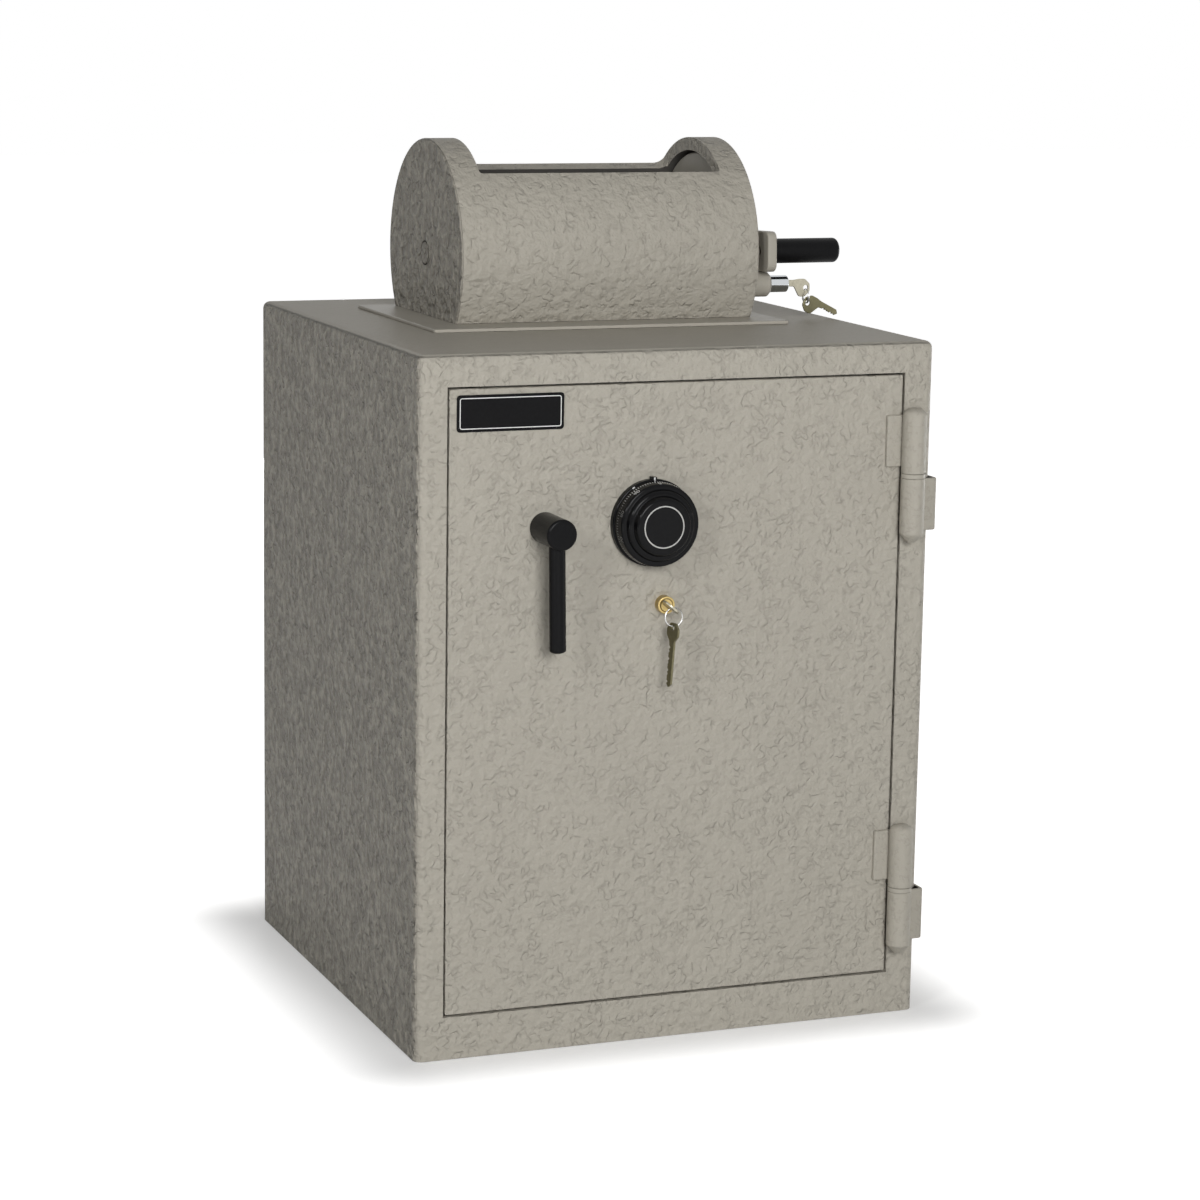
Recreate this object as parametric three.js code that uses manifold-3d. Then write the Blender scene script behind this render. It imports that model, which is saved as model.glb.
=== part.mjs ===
// Rotary hopper safe: a steel cabinet with a hinged door and throw bolts, and a drum hopper on its roof.
// Millimetres, +Z up, +X to the right and +Y to the back. The origin is under the middle of the cabinet.
import * as THREE from "three";
import { mergeVertices } from "three/addons/utils/BufferGeometryUtils.js";
import Module from "manifold-3d";

const wasm = await Module();
wasm.setup();

// Driving dimensions

// Seams between seated faces, and clearance round turning and sliding pieces
const SEAM = 0.3;
const PLAY = 0.5;

// Cabinet
const CABINET_WIDTH = 504;
const CABINET_DEPTH = 500;
const CABINET_HEIGHT = 645;
const WALL = 6;
const FRONT_WALL = 10;
const EDGE_RADIUS = 8;
const TOP_EDGE_RADIUS = 7;
const CAVITY_RADIUS = 4;

// Door and the frame margins round it
const MARGIN_LEFT = 28.5;
const MARGIN_RIGHT = 31.8;
const MARGIN_TOP = 30.7;
const MARGIN_BOTTOM = 42;
const DOOR_GAP = 2;
const DOOR_EDGE = 1.2;
const STOP_LENGTH = 380;
const STOP_WIDTH = 20;
const STOP_THICKNESS = 4;
const STOP_LAP = 6;

// Door hinges
const HINGE_OUT = 5.5;
const KNUCKLE_RADIUS = 11.3;
const DOOR_KNUCKLE = 61;
const BODY_KNUCKLE = 53.1;
const KNUCKLE_DOME = 7;
const HINGE_TOP_DROP = 60;
const HINGE_BOTTOM_RISE = 70;
const HINGE_WASHER = 4;
const HINGE_TIP = 8;
const HINGE_TIP_RADIUS = 3;
const HINGE_PIN_RADIUS = 5;
const HINGE_PIN_REACH = 36;
const DOOR_LEAF_WIDTH = 24;
const DOOR_LEAF_HEIGHT = 48.3;
const DOOR_LEAF_DROP = 7.5;
const DOOR_LEAF_THICKNESS = 4;
const DOOR_LEAF_CORNER = 1.5;
const DOOR_LEAF_EDGE = 1.2;
const BODY_LEAF_THICKNESS = 5;
const BODY_LEAF_WRAP = 34;
const BODY_LEAF_CORNER = 5;
const BODY_LEAF_CHAMFER = 3;
const BODY_LEAF_EDGE = 1;
const BODY_LEAF_INSET = 2;

// Handle and the boltwork behind the door
const HANDLE_IN = 90.5;
const HANDLE_DROP = 126.8;
const HUB_RADIUS = 14.2;
const HUB_LENGTH = 45.7;
const HUB_ROUND = 2.5;
const ROD_RADIUS = 7.5;
const ROD_REACH = 109;
const ROD_OUT = 31.7;
const ROD_LEAN = 1.2;
const ROD_SEAT = 2;
const ROD_ROUND = 3;
const SPINDLE_RADIUS = 6;
const SPINDLE_SEAT = 14;
const CAM_RADIUS = 18;
const CAM_THICKNESS = 5;
const CAM_PIN_RADIUS = 3;
const BOLT_THROW = 18;
const BOLT_RADIUS = 11;
const BOLT_NOSE = 2;
const BOLT_SETBACK = 2;
const BOLT_INSET = 87.65;
const BAR_WIDTH = 28;
const BAR_THICKNESS = 6;
const BAR_FORWARD = 2;
const BAR_END = 17;
const UPPER_ARM = 20;
const LOWER_ARM = 10;
const ARM_RIGHT = 8;
const LUG_WIDTH = 4;
const LUG_LENGTH = 9.5;
const LUG_GAP = 1.5;
const SLOT_PLAY = 0.65;
const GUIDE_THICKNESS = 6;
const GUIDE_DEPTH = 30;
const GUIDE_INSET = 9.5;
const STRAP_THICKNESS = 3.5;
const STRAP_HEIGHT = 24;
const STRAP_INSET = 211.15;
const COVER_DEPTH = 38;
const COVER_WALL = 2;
const COVER_INSET = 24.2;
const COVER_TOP_INSET = 28;
const DEAD_BAR_WIDTH = 32;
const DEAD_BAR_THICKNESS = 8;
const DEAD_BAR_HOOK = 8;
const DEAD_BAR_INSET = 22;

// Name plate, left bare
const PLATE_WIDTH = 101;
const PLATE_HEIGHT = 33;
const PLATE_THICKNESS = 1;
const PLATE_CORNER = 3;
const PLATE_LEFT_INSET = 6.5;
const PLATE_TOP_INSET = 5.3;

// Combination dial and its lock
const DIAL_OFF_CENTRE = -29.9;
const DIAL_DROP = 126.3;
const DIAL_RING_RADIUS = 39.9;
const DIAL_RING_DEPTH = 7;
const DIAL_RING_EDGE = 1;
const DIAL_BORE = 12;
const SKIRT_RADIUS = 38.5;
const SKIRT_DEPTH = 15;
const SKIRT_EDGE = 1.4;
const KNOB_RADIUS = 31.6;
const KNOB_STEP = 4;
const KNOB_SLOPE = 1.6;
const KNOB_EDGE = 1.8;
const KNOB_FACE_RADIUS = 26.2;
const KNOB_DEPTH = 5.2;
const TAB_WIDTH = 5;
const TAB_HEIGHT = 2;
const TAB_INSET = 0.4;
const DIAL_SPINDLE_RADIUS = 4;
const LOCK_CASE_WIDTH = 61;
const LOCK_CASE_HEIGHT = 64;
const LOCK_CASE_DEPTH = 28;
const LOCK_BOLT_WIDTH = 10;
const LOCK_BOLT_DEPTH = 8;
const LOCK_BOLT_TRAVEL = 9;
const LOCK_BOLT_SEAT = 24;

// Key lock in the door
const KEY_LOCK_OFF_CENTRE = -16.5;
const KEY_LOCK_DROP = 76.1;
const KEY_BARREL_RADIUS = 8.2;
const KEY_BARREL_OUT = 8.5;
const KEY_PLUG_RADIUS = 5.6;
const KEY_NUT_RADIUS = 12.5;
const KEY_NUT_THICKNESS = 5;
const KEY_CAM_LENGTH = 24;
const KEY_CAM_WIDTH = 8;
const KEY_CAM_THICKNESS = 5;
const KEY_SLOT_ANGLE = 42;

// Keys and split rings
const KEY_THICKNESS = 2.2;
const KEY_HOLE_INSET = 4.4;
const KEY_HOLE_RADIUS = 2.4;
const KEY_BITTING_STEP = 4;
const DOOR_KEY = { bow: 17.4, bowLength: 17, offset: 0, neck: 1, blade: 7.5, bladeLength: 42 };
const HOPPER_KEY = { bow: 17.4, bowLength: 17, offset: 4.5, neck: 8.5, blade: 6.4, bladeLength: 21 };
const KEY_RING_WIRE = 0.7;
const DOOR_RING_RADIUS = 8.5;
const DOOR_RING_TILT = 10;
const DOOR_SPARE_LEAN = 4;
const DOOR_SPARE_TURN = 12;
const HOPPER_RING_RADIUS = 6.9;
const HOPPER_RING_TILT = 4;
const HOPPER_SPARE_ROUND = 30;
const HOPPER_SPARE_PITCH = 27;
const HOPPER_SPARE_SEAT = 0.5;

// Drum hopper on the roof
const BASE_PLATE_THICKNESS = 3;
const BASE_PLATE_SIDE = 28.5;
const BASE_PLATE_FRONT = 41.5;
const BASE_PLATE_BACK = 10.5;
const BASE_PLATE_OFF_CENTRE = -6.5;
const BASE_PLATE_CORNER = 2;
const BASE_PLATE_EDGE = 0.5;
const HOPPER_RADIUS = 109.5;
const HOPPER_WALL = 12.7;
const HOPPER_LENGTH = 304;
const HOPPER_OFF_CENTRE = 7;
const HOPPER_SETBACK = 53;
const HOPPER_AXLE_RISE = 62.8;
const END_PLATE = 8;
const EAR_LEFT = 29;
const EAR_RIGHT = 28;
const WINDOW_RISE = 75.4;
const WINDOW_HALF_WIDTH = 60.7;
const WINDOW_SLOPE = 19;
const WINDOW_FILLET_BACK = 9;
const WINDOW_FILLET_FRONT = 3;
const THROAT_PLAY = 2;

// Drum
const DRUM_PLAY = 2.5;
const DRUM_WALL = 5;
const DRUM_DISC = 8;
const DRUM_OVERHANG = 6;
const DRUM_MOUTH_HALF_ANGLE = 48;
const AXLE_RADIUS = 11;
const AXLE_PROUD = 0.5;
const AXLE_MARK_RADIUS = 2.5;
const AXLE_MARK_DEPTH = 3;
const BUSH_FLANGE_RADIUS = 19;

// Crank
const CRANK_THICKNESS = 9.5;
const CRANK_HEIGHT = 39;
const CRANK_CORNER = 8;
const CRANK_GAP = 7.5;
const CRANK_REACH = 91;
const CRANK_END = 22;
const CRANK_TILT = 2.6;
const GRIP_RADIUS = 12;
const GRIP_LENGTH = 73;
const GRIP_ROUND = 4;
const GRIP_BOLT_RADIUS = 4;
const GRIP_BOLT_REACH = 51;
const GRIP_BOLT_RECESS = 4;
const CRANK_EDGE = 1.2;
const AXLE_CAP_RADIUS = 15;
const AXLE_CAP_THICKNESS = 4;
const AXLE_CAP_SOCKET = 4;
const AXLE_CAP_SOCKET_DEPTH = 2.5;

// Hopper lock
const HOPPER_LOCK_FORWARD = 84;
const HOPPER_LOCK_RADIUS = 12.4;
const HOPPER_LOCK_LENGTH = 20.7;
const HOPPER_LOCK_CHAMFER = 2.5;
const PLUNGER_RADIUS = 8.3;
const PLUNGER_OUT = 19.5;
const PLUNGER_TRAVEL = 9;
const PLUNGER_EDGE = 1;
const LOCK_PIN_RADIUS = 3.5;
const LOCK_PIN_GAP = 1.5;
const HOPPER_PLUG_RADIUS = 5.5;
const HOPPER_BLADE_INSIDE = 13;

// Deposit baffle under the throat
const BAFFLE_THICKNESS = 3;
const BAFFLE_DEPTH = 170;
const BAFFLE_DROP = 85;
const BAFFLE_TILT = 20;

// Facets of round pieces
const FINE = 56;
const MEDIUM = 24;
const SMALL = 12;

// Places worked out from the driving dimensions
const frontY = -CABINET_DEPTH / 2;
const doorBackY = frontY + FRONT_WALL;
const insideY = doorBackY + SEAM;
const doorLeft = -CABINET_WIDTH / 2 + MARGIN_LEFT;
const doorRight = CABINET_WIDTH / 2 - MARGIN_RIGHT;
const doorBottom = MARGIN_BOTTOM;
const doorTop = CABINET_HEIGHT - MARGIN_TOP;
const openLeft = doorLeft - DOOR_GAP;
const openRight = doorRight + DOOR_GAP;
const openBottom = doorBottom - DOOR_GAP;
const openTop = doorTop + DOOR_GAP;
const hingeX = openRight + HINGE_OUT;
const hingeLine = [hingeX, frontY - SEAM - KNUCKLE_RADIUS];
const handleX = doorLeft + HANDLE_IN;
const hopperX0 = HOPPER_OFF_CENTRE - HOPPER_LENGTH / 2;
const hopperX1 = hopperX0 + HOPPER_LENGTH;
const hopperZ = CABINET_HEIGHT + HOPPER_AXLE_RISE;
const basePlateTop = CABINET_HEIGHT + SEAM + BASE_PLATE_THICKNESS;
const hopperInner = HOPPER_RADIUS - HOPPER_WALL;
const windowX0 = hopperX0 + EAR_LEFT;
const windowX1 = hopperX1 - EAR_RIGHT;
const drumRadius = hopperInner - DRUM_PLAY;
const drumInner = drumRadius - DRUM_WALL;
const discLeftX = windowX0 - DRUM_OVERHANG;
const discRightX = windowX1 + DRUM_OVERHANG;
const throatX0 = discLeftX - DRUM_DISC - THROAT_PLAY;
const throatX1 = discRightX + DRUM_DISC + THROAT_PLAY;
const throatHalf = Math.sqrt(hopperInner ** 2 - (hopperZ - basePlateTop) ** 2);
const footHalf = Math.sqrt(HOPPER_RADIUS ** 2 - (hopperZ - basePlateTop) ** 2);
const crankX0 = hopperX1 + CRANK_GAP;
const crankX1 = crankX0 + CRANK_THICKNESS;
const tilt = THREE.MathUtils.degToRad(CRANK_TILT);
const lockY = HOPPER_SETBACK - HOPPER_LOCK_FORWARD;
const lockZ = hopperZ + HOPPER_LOCK_FORWARD * Math.tan(tilt) - CRANK_HEIGHT / 2 / Math.cos(tilt)
  - SEAM - HOPPER_LOCK_RADIUS;
const lockAt = [lockY, lockZ];
const axleLine = [HOPPER_SETBACK, hopperZ];
const handleZ = doorTop - HANDLE_DROP;
const dialZ = doorTop - DIAL_DROP;
const keyLockZ = dialZ - KEY_LOCK_DROP;
const dialAt = [DIAL_OFF_CENTRE, dialZ];
const keyAt = [KEY_LOCK_OFF_CENTRE, keyLockZ];
const bossEndX = hopperX1 + HOPPER_LOCK_LENGTH;
const plungerEndX = bossEndX + PLUNGER_OUT;
const plugEndX = plungerEndX - HOPPER_BLADE_INSIDE - 1;

// Paints and metals
function paint(color, roughness, metalness) {
  return new THREE.MeshStandardMaterial({ color, roughness, metalness });
}
const WRINKLE_PAINT = paint(0xa39c94, 0.55, 0.1);
const SMOOTH_PAINT = paint(0x9a938b, 0.5, 0.1);
const INNER_PAINT = paint(0x6f6a64, 0.7, 0.1);
const BLACK_GLOSS = paint(0x0d0d0e, 0.18, 0);
const BLACK_RUBBER = paint(0x0a0a0a, 0.6, 0);
const BRASS = paint(0xb39a55, 0.3, 1);
const STEEL = paint(0x8e8f90, 0.4, 1);
const CHROME = paint(0xc8ccd0, 0.12, 1);
const NICKEL = paint(0x85806a, 0.35, 1);

// Solids

// A closed geometry as a solid that can be joined and cut.
function solid(geometry) {
  const bare = new THREE.BufferGeometry();
  bare.setAttribute("position", geometry.getAttribute("position"));
  if (geometry.index) bare.setIndex(geometry.index);
  const merged = mergeVertices(bare, 1e-4);
  const vertProperties = new Float32Array(merged.getAttribute("position").array);
  const triVerts = new Uint32Array(merged.index.array);
  const form = new wasm.Mesh({ numProp: 3, vertProperties, triVerts });
  form.merge();
  return new wasm.Manifold(form);
}

// A solid back as a geometry.
function surface(body) {
  const form = body.getMesh();
  const geometry = new THREE.BufferGeometry();
  geometry.setAttribute("position", new THREE.BufferAttribute(new Float32Array(form.vertProperties), 3));
  geometry.setIndex(new THREE.BufferAttribute(new Uint32Array(form.triVerts), 1));
  const flat = geometry.toNonIndexed();
  flat.computeVertexNormals();
  return flat;
}

const block = (x0, x1, y0, y1, z0, z1) => solid(new THREE.BoxGeometry(x1 - x0, y1 - y0, z1 - z0)
  .translate((x0 + x1) / 2, (y0 + y1) / 2, (z0 + z1) / 2));

// How the axis of a turned piece, which starts along y, comes to point right, up or to the front.
const TOWARDS = {
  x: [0, 0, -Math.PI / 2],
  z: [Math.PI / 2, 0, 0],
  front: [Math.PI, 0, 0],
};

// Turned pieces: a closed outline of [radius, distance] points turned about an axis from a place on it.
function turned(outline, axis, place, sides = MEDIUM) {
  const points = outline.map(([radius, distance]) => new THREE.Vector2(radius, distance));
  const geometry = new THREE.LatheGeometry(points, sides);
  geometry.applyMatrix4(new THREE.Matrix4().makeRotationFromEuler(new THREE.Euler(...TOWARDS[axis])));
  return solid(geometry.translate(...place));
}

// A round bar between two places on the x, y or z axis through a point.
function bar(axis, radius, from, to, point, sides = MEDIUM) {
  const geometry = new THREE.CylinderGeometry(radius, radius, to - from, sides);
  if (axis === "x") geometry.rotateZ(-Math.PI / 2);
  if (axis === "z") geometry.rotateX(Math.PI / 2);
  const middle = (from + to) / 2;
  const [a, b] = point;
  const centre = { x: [middle, a, b], y: [a, middle, b], z: [a, b, middle] }[axis];
  return solid(geometry.translate(...centre));
}

// A round hole's cutter, whose flats lie on the radius, so that a round piece of that radius fits.
const hole = (axis, radius, from, to, point, sides = MEDIUM) =>
  bar(axis, radius / Math.cos(Math.PI / sides), from, to, point, sides);

const tube = (axis, radius, bore, from, to, point, sides = MEDIUM) =>
  bar(axis, radius, from, to, point, sides).subtract(hole(axis, bore, from - 1, to + 1, point, sides));

// A rectangle with round corners, as an outline.
function roundedOutline(x0, x1, y0, y1, radius) {
  const shape = new THREE.Shape();
  shape.absarc(x1 - radius, y1 - radius, radius, 0, Math.PI / 2);
  shape.absarc(x0 + radius, y1 - radius, radius, Math.PI / 2, Math.PI);
  shape.absarc(x0 + radius, y0 + radius, radius, Math.PI, Math.PI * 1.5);
  shape.absarc(x1 - radius, y0 + radius, radius, Math.PI * 1.5, Math.PI * 2);
  return shape;
}

// The bevel of an extruded outline, taken inwards so that the outline keeps its size.
const bevel = (edge, bevelSegments = 1) => ({
  bevelEnabled: edge > 0,
  bevelThickness: edge,
  bevelSize: edge,
  bevelOffset: -edge,
  bevelSegments,
});

// An outline drawn as seen from the front, with x to the right and z up, made solid from y0 back to y1.
function panel(shape, y0, y1, edge = 0, curveSegments = 6) {
  const depth = y1 - y0 - 2 * edge;
  const geometry = new THREE.ExtrudeGeometry(shape, { depth, curveSegments, ...bevel(edge) });
  return solid(geometry.rotateX(Math.PI / 2).translate(0, y1 - edge, 0));
}

// An outline drawn as seen from the right, with y as its first value and z as its second, from x0 to x1.
function sidePlate(shape, x0, x1, edge = 0, curveSegments = 6) {
  const depth = x1 - x0 - 2 * edge;
  const geometry = new THREE.ExtrudeGeometry(shape, { depth, curveSegments, ...bevel(edge) });
  return solid(geometry.rotateX(Math.PI / 2).rotateZ(Math.PI / 2).translate(x0 + edge, 0, 0));
}

// Cabinet

function cabinetShell() {
  const soft = TOP_EDGE_RADIUS;
  const plan = roundedOutline(-CABINET_WIDTH / 2, CABINET_WIDTH / 2, frontY, -frontY, EDGE_RADIUS);
  const outer = solid(new THREE.ExtrudeGeometry(plan, {
    depth: CABINET_HEIGHT - soft,
    curveSegments: 5,
    ...bevel(soft, 5),
  })).subtract(block(-CABINET_WIDTH, CABINET_WIDTH, -CABINET_DEPTH, CABINET_DEPTH, -WALL * 2, 0));
  const inX = CABINET_WIDTH / 2 - WALL;
  const cavityOutline = roundedOutline(-inX, inX, WALL, CABINET_HEIGHT - WALL, CAVITY_RADIUS);
  const cavity = panel(cavityOutline, doorBackY, CABINET_DEPTH);
  const doorway = block(openLeft, openRight, frontY - WALL, doorBackY + WALL, openBottom, openTop);
  return outer.subtract(cavity).subtract(doorway).subtract(throat());
}

// The opening that the drum dips through, in the roof and in the hopper's base plate.
const throat = () => block(throatX0, throatX1, HOPPER_SETBACK - throatHalf, HOPPER_SETBACK + throatHalf,
  CABINET_HEIGHT - WALL * 2, basePlateTop + WALL);

function backPanel() {
  const inX = CABINET_WIDTH / 2 - WALL - SEAM;
  const outline = roundedOutline(-inX, inX, WALL + SEAM, CABINET_HEIGHT - WALL - SEAM, CAVITY_RADIUS);
  return panel(outline, CABINET_DEPTH / 2 - WALL, CABINET_DEPTH / 2);
}

// Strips welded behind the frame that the closed door lands on.
function doorStop(edgeZ, inwards) {
  const lap = edgeZ + inwards * STOP_LAP;
  const z0 = Math.min(lap, lap - inwards * STOP_WIDTH);
  return block(-STOP_LENGTH / 2, STOP_LENGTH / 2, insideY, insideY + STOP_THICKNESS, z0, z0 + STOP_WIDTH);
}

// A tilted shelf under the throat that keeps a hand or a hook away from what has dropped in.
function depositBaffle() {
  const inX = CABINET_WIDTH / 2 - WALL - SEAM;
  const plate = new THREE.BoxGeometry(2 * inX, BAFFLE_DEPTH, BAFFLE_THICKNESS);
  plate.rotateX(THREE.MathUtils.degToRad(BAFFLE_TILT));
  return solid(plate.translate(0, HOPPER_SETBACK, CABINET_HEIGHT - BAFFLE_DROP));
}

// Hinges. The upper knuckle turns with the door and the lower one stays on the cabinet.

const hingePlaces = {
  upper: CABINET_HEIGHT - HINGE_TOP_DROP - DOOR_KNUCKLE - HINGE_WASHER - BODY_KNUCKLE - 2 * SEAM,
  lower: HINGE_BOTTOM_RISE,
};

function doorLeaf(bottom) {
  const z0 = bottom + BODY_KNUCKLE + HINGE_WASHER + 2 * SEAM;
  const z1 = z0 + DOOR_KNUCKLE;
  const outline = [[0, 0], [KNUCKLE_RADIUS, 0], [KNUCKLE_RADIUS, DOOR_KNUCKLE - KNUCKLE_DOME]];
  for (const turn of [22.5, 45, 67.5].map(THREE.MathUtils.degToRad)) {
    outline.push([KNUCKLE_RADIUS * Math.cos(turn), DOOR_KNUCKLE - KNUCKLE_DOME * (1 - Math.sin(turn))]);
  }
  outline.push([0, DOOR_KNUCKLE]);
  const leafTop = z1 - DOOR_LEAF_DROP;
  const leafOutline = roundedOutline(hingeX - DOOR_LEAF_WIDTH, hingeX, leafTop - DOOR_LEAF_HEIGHT, leafTop,
    DOOR_LEAF_CORNER);
  const leaf = panel(leafOutline, frontY - SEAM - DOOR_LEAF_THICKNESS, frontY - SEAM, DOOR_LEAF_EDGE);
  const bore = hole("z", HINGE_PIN_RADIUS + SEAM, z0 - 1, z0 + HINGE_PIN_REACH + SEAM, hingeLine, SMALL);
  return turned(outline, "z", [...hingeLine, z0]).add(leaf).subtract(bore);
}

function bodyLeaf(bottom) {
  const outline = [[0, -HINGE_TIP], [HINGE_TIP_RADIUS, -HINGE_TIP], [KNUCKLE_RADIUS - BODY_LEAF_EDGE, 0],
    [KNUCKLE_RADIUS, BODY_LEAF_EDGE], [KNUCKLE_RADIUS, BODY_KNUCKLE], [0, BODY_KNUCKLE]];
  const inner = CABINET_WIDTH / 2 + SEAM;
  const outer = inner + BODY_LEAF_THICKNESS;
  const face = frontY - SEAM - BODY_LEAF_THICKNESS;
  const shape = new THREE.Shape();
  shape.moveTo(hingeX, frontY - SEAM);
  shape.lineTo(hingeX, face);
  const corner = BODY_LEAF_CORNER;
  shape.absarc(outer - corner, face + corner, corner, Math.PI * 1.5, Math.PI * 2);
  shape.lineTo(outer, frontY + BODY_LEAF_WRAP - BODY_LEAF_CHAMFER);
  shape.lineTo(outer - BODY_LEAF_CHAMFER, frontY + BODY_LEAF_WRAP);
  shape.lineTo(inner, frontY + BODY_LEAF_WRAP);
  shape.lineTo(inner, frontY - SEAM);
  const leaf = solid(new THREE.ExtrudeGeometry(shape, {
    depth: BODY_KNUCKLE - 2 * BODY_LEAF_INSET - 2 * BODY_LEAF_EDGE,
    curveSegments: 6,
    ...bevel(BODY_LEAF_EDGE, 2),
  }).translate(0, 0, bottom + BODY_LEAF_INSET + BODY_LEAF_EDGE));
  const z1 = bottom + BODY_KNUCKLE;
  const bore = hole("z", HINGE_PIN_RADIUS + SEAM, z1 - HINGE_PIN_REACH - SEAM, z1 + 1, hingeLine, SMALL);
  return turned(outline, "z", [...hingeLine, bottom]).add(leaf).subtract(bore);
}

function hingePin(bottom) {
  const middle = bottom + BODY_KNUCKLE + SEAM + HINGE_WASHER / 2;
  const reach = HINGE_PIN_REACH + SEAM + HINGE_WASHER / 2 - 1;
  return bar("z", HINGE_PIN_RADIUS, middle - reach, middle + reach, hingeLine, SMALL);
}

function hingeWasher(bottom) {
  const z0 = bottom + BODY_KNUCKLE + SEAM;
  return tube("z", KNUCKLE_RADIUS, HINGE_PIN_RADIUS + SEAM, z0, z0 + HINGE_WASHER, hingeLine);
}

// Door

const boltZs = [doorBottom + BOLT_INSET, (doorBottom + doorTop) / 2, doorTop - BOLT_INSET];
const boltY = doorBackY + BOLT_SETBACK + BOLT_RADIUS;
const barY = boltY - BAR_THICKNESS / 2 - BAR_FORWARD;
const pinX = handleX + BOLT_THROW / 2;
const pinZ = handleZ - BOLT_THROW / 2;
const pinCircle = BOLT_THROW / 2 / Math.sin(Math.PI / 4);

function doorPlate() {
  const outline = roundedOutline(doorLeft, doorRight, doorBottom, doorTop, DOOR_EDGE + 0.5);
  const slab = panel(outline, frontY, doorBackY, DOOR_EDGE, 3);
  const holes = [
    [SPINDLE_RADIUS + PLAY, [handleX, handleZ]],
    [DIAL_SPINDLE_RADIUS + PLAY, dialAt],
    [KEY_BARREL_RADIUS + SEAM, keyAt],
  ];
  return holes.reduce((door, [radius, place]) =>
    door.subtract(hole("y", radius, frontY - 1, doorBackY + 1, place, SMALL)), slab);
}

const guideX = doorLeft + GUIDE_INSET;

// An upright bar at the door's free edge with a hole for each bolt.
function boltGuide() {
  const rail = block(guideX, guideX + GUIDE_THICKNESS, insideY, insideY + GUIDE_DEPTH,
    doorBottom + COVER_TOP_INSET, doorTop - COVER_TOP_INSET);
  return boltZs.reduce((body, z) =>
    body.subtract(hole("x", BOLT_RADIUS + PLAY, guideX - 1, guideX + GUIDE_THICKNESS + 1, [boltY, z])), rail);
}

// A tray over the boltwork, open at the side that the bolt guide closes.
function boltworkCover() {
  const x0 = guideX + GUIDE_THICKNESS + SEAM;
  const x1 = doorRight - COVER_INSET;
  const z0 = doorBottom + COVER_TOP_INSET;
  const z1 = doorTop - COVER_TOP_INSET;
  const tray = block(x0, x1, insideY, insideY + COVER_DEPTH, z0, z1);
  return tray.subtract(block(x0 - 1, x1 - COVER_WALL, insideY - 1, insideY + COVER_DEPTH - COVER_WALL,
    z0 + COVER_WALL, z1 - COVER_WALL));
}

// A fixed bar at the hinge side that hooks behind the frame, so that cut hinges don't free the door.
function deadBar() {
  const x1 = openRight + DEAD_BAR_HOOK;
  const z0 = doorBottom + DEAD_BAR_INSET;
  const z1 = doorTop - DEAD_BAR_INSET;
  const back = insideY + DEAD_BAR_THICKNESS + BOLT_SETBACK;
  return block(x1 - DEAD_BAR_WIDTH, doorRight, insideY, back, z0, z1)
    .add(block(doorRight - 1, x1, insideY + BOLT_SETBACK, back, z0, z1));
}

// A strap bridging the bolt bar, which slides under it.
function barStrap(z) {
  const x0 = pinX - BAR_WIDTH / 2 - BOLT_THROW - STRAP_THICKNESS * 2;
  const x1 = pinX + BAR_WIDTH / 2 + STRAP_THICKNESS * 2;
  const bridgeY = barY + BAR_THICKNESS + SEAM;
  const outer = block(x0, x1, insideY, bridgeY + STRAP_THICKNESS, z - STRAP_HEIGHT / 2, z + STRAP_HEIGHT / 2);
  return outer.subtract(block(x0 + STRAP_THICKNESS, x1 - STRAP_THICKNESS, insideY - 1, bridgeY,
    z - STRAP_HEIGHT, z + STRAP_HEIGHT));
}

function namePlate() {
  const x0 = doorLeft + PLATE_LEFT_INSET;
  const z1 = doorTop - PLATE_TOP_INSET;
  const outline = roundedOutline(x0, x0 + PLATE_WIDTH, z1 - PLATE_HEIGHT, z1, PLATE_CORNER);
  return panel(outline, frontY - SEAM - PLATE_THICKNESS, frontY - SEAM);
}

// Handle

function handleHub() {
  const round = HUB_ROUND * 0.3;
  const outline = [[0, 0], [HUB_RADIUS, 0], [HUB_RADIUS, HUB_LENGTH - HUB_ROUND],
    [HUB_RADIUS - round, HUB_LENGTH - round], [HUB_RADIUS - HUB_ROUND, HUB_LENGTH], [0, HUB_LENGTH]];
  const back = frontY - SEAM;
  const hub = turned(outline, "front", [handleX, back, handleZ]);
  const seatEnd = back - SPINDLE_SEAT - SEAM;
  const seat = hole("y", SPINDLE_RADIUS + SEAM, seatEnd, back + 1, [handleX, handleZ], SMALL);
  const socket = hole("z", ROD_RADIUS + SEAM, handleZ - HUB_RADIUS * 2, handleZ + ROD_SEAT,
    [handleX, frontY - ROD_OUT]);
  return hub.subtract(seat).subtract(leaning(socket));
}

// The rod hangs a little to the right of plumb.
const leaning = (body) => turnedAbout(body, handleX, handleZ, -ROD_LEAN);

function handleRod() {
  const length = ROD_REACH + ROD_SEAT - SEAM;
  const outline = [[0, 0]];
  for (let step = 1; step <= 4; step += 1) {
    const turn = step / 4 * Math.PI / 2;
    outline.push([ROD_RADIUS * Math.sin(turn), ROD_ROUND * (1 - Math.cos(turn))]);
  }
  outline.push([ROD_RADIUS, length], [0, length]);
  return leaning(turned(outline, "z", [handleX, frontY - ROD_OUT, handleZ - ROD_REACH]));
}

// The spindle ends in a cam whose pin drives the bolt bar.
function handleSpindle() {
  const camBack = insideY + CAM_THICKNESS;
  const centre = [handleX, handleZ];
  const spindle = bar("y", SPINDLE_RADIUS, frontY - SPINDLE_SEAT, insideY + 1, centre, SMALL);
  const cam = bar("y", CAM_RADIUS, insideY, camBack, centre);
  const pin = bar("y", CAM_PIN_RADIUS, camBack - 1, barY + BAR_THICKNESS, [pinX, pinZ], SMALL);
  return spindle.add(cam).add(pin);
}

// Boltwork

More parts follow.
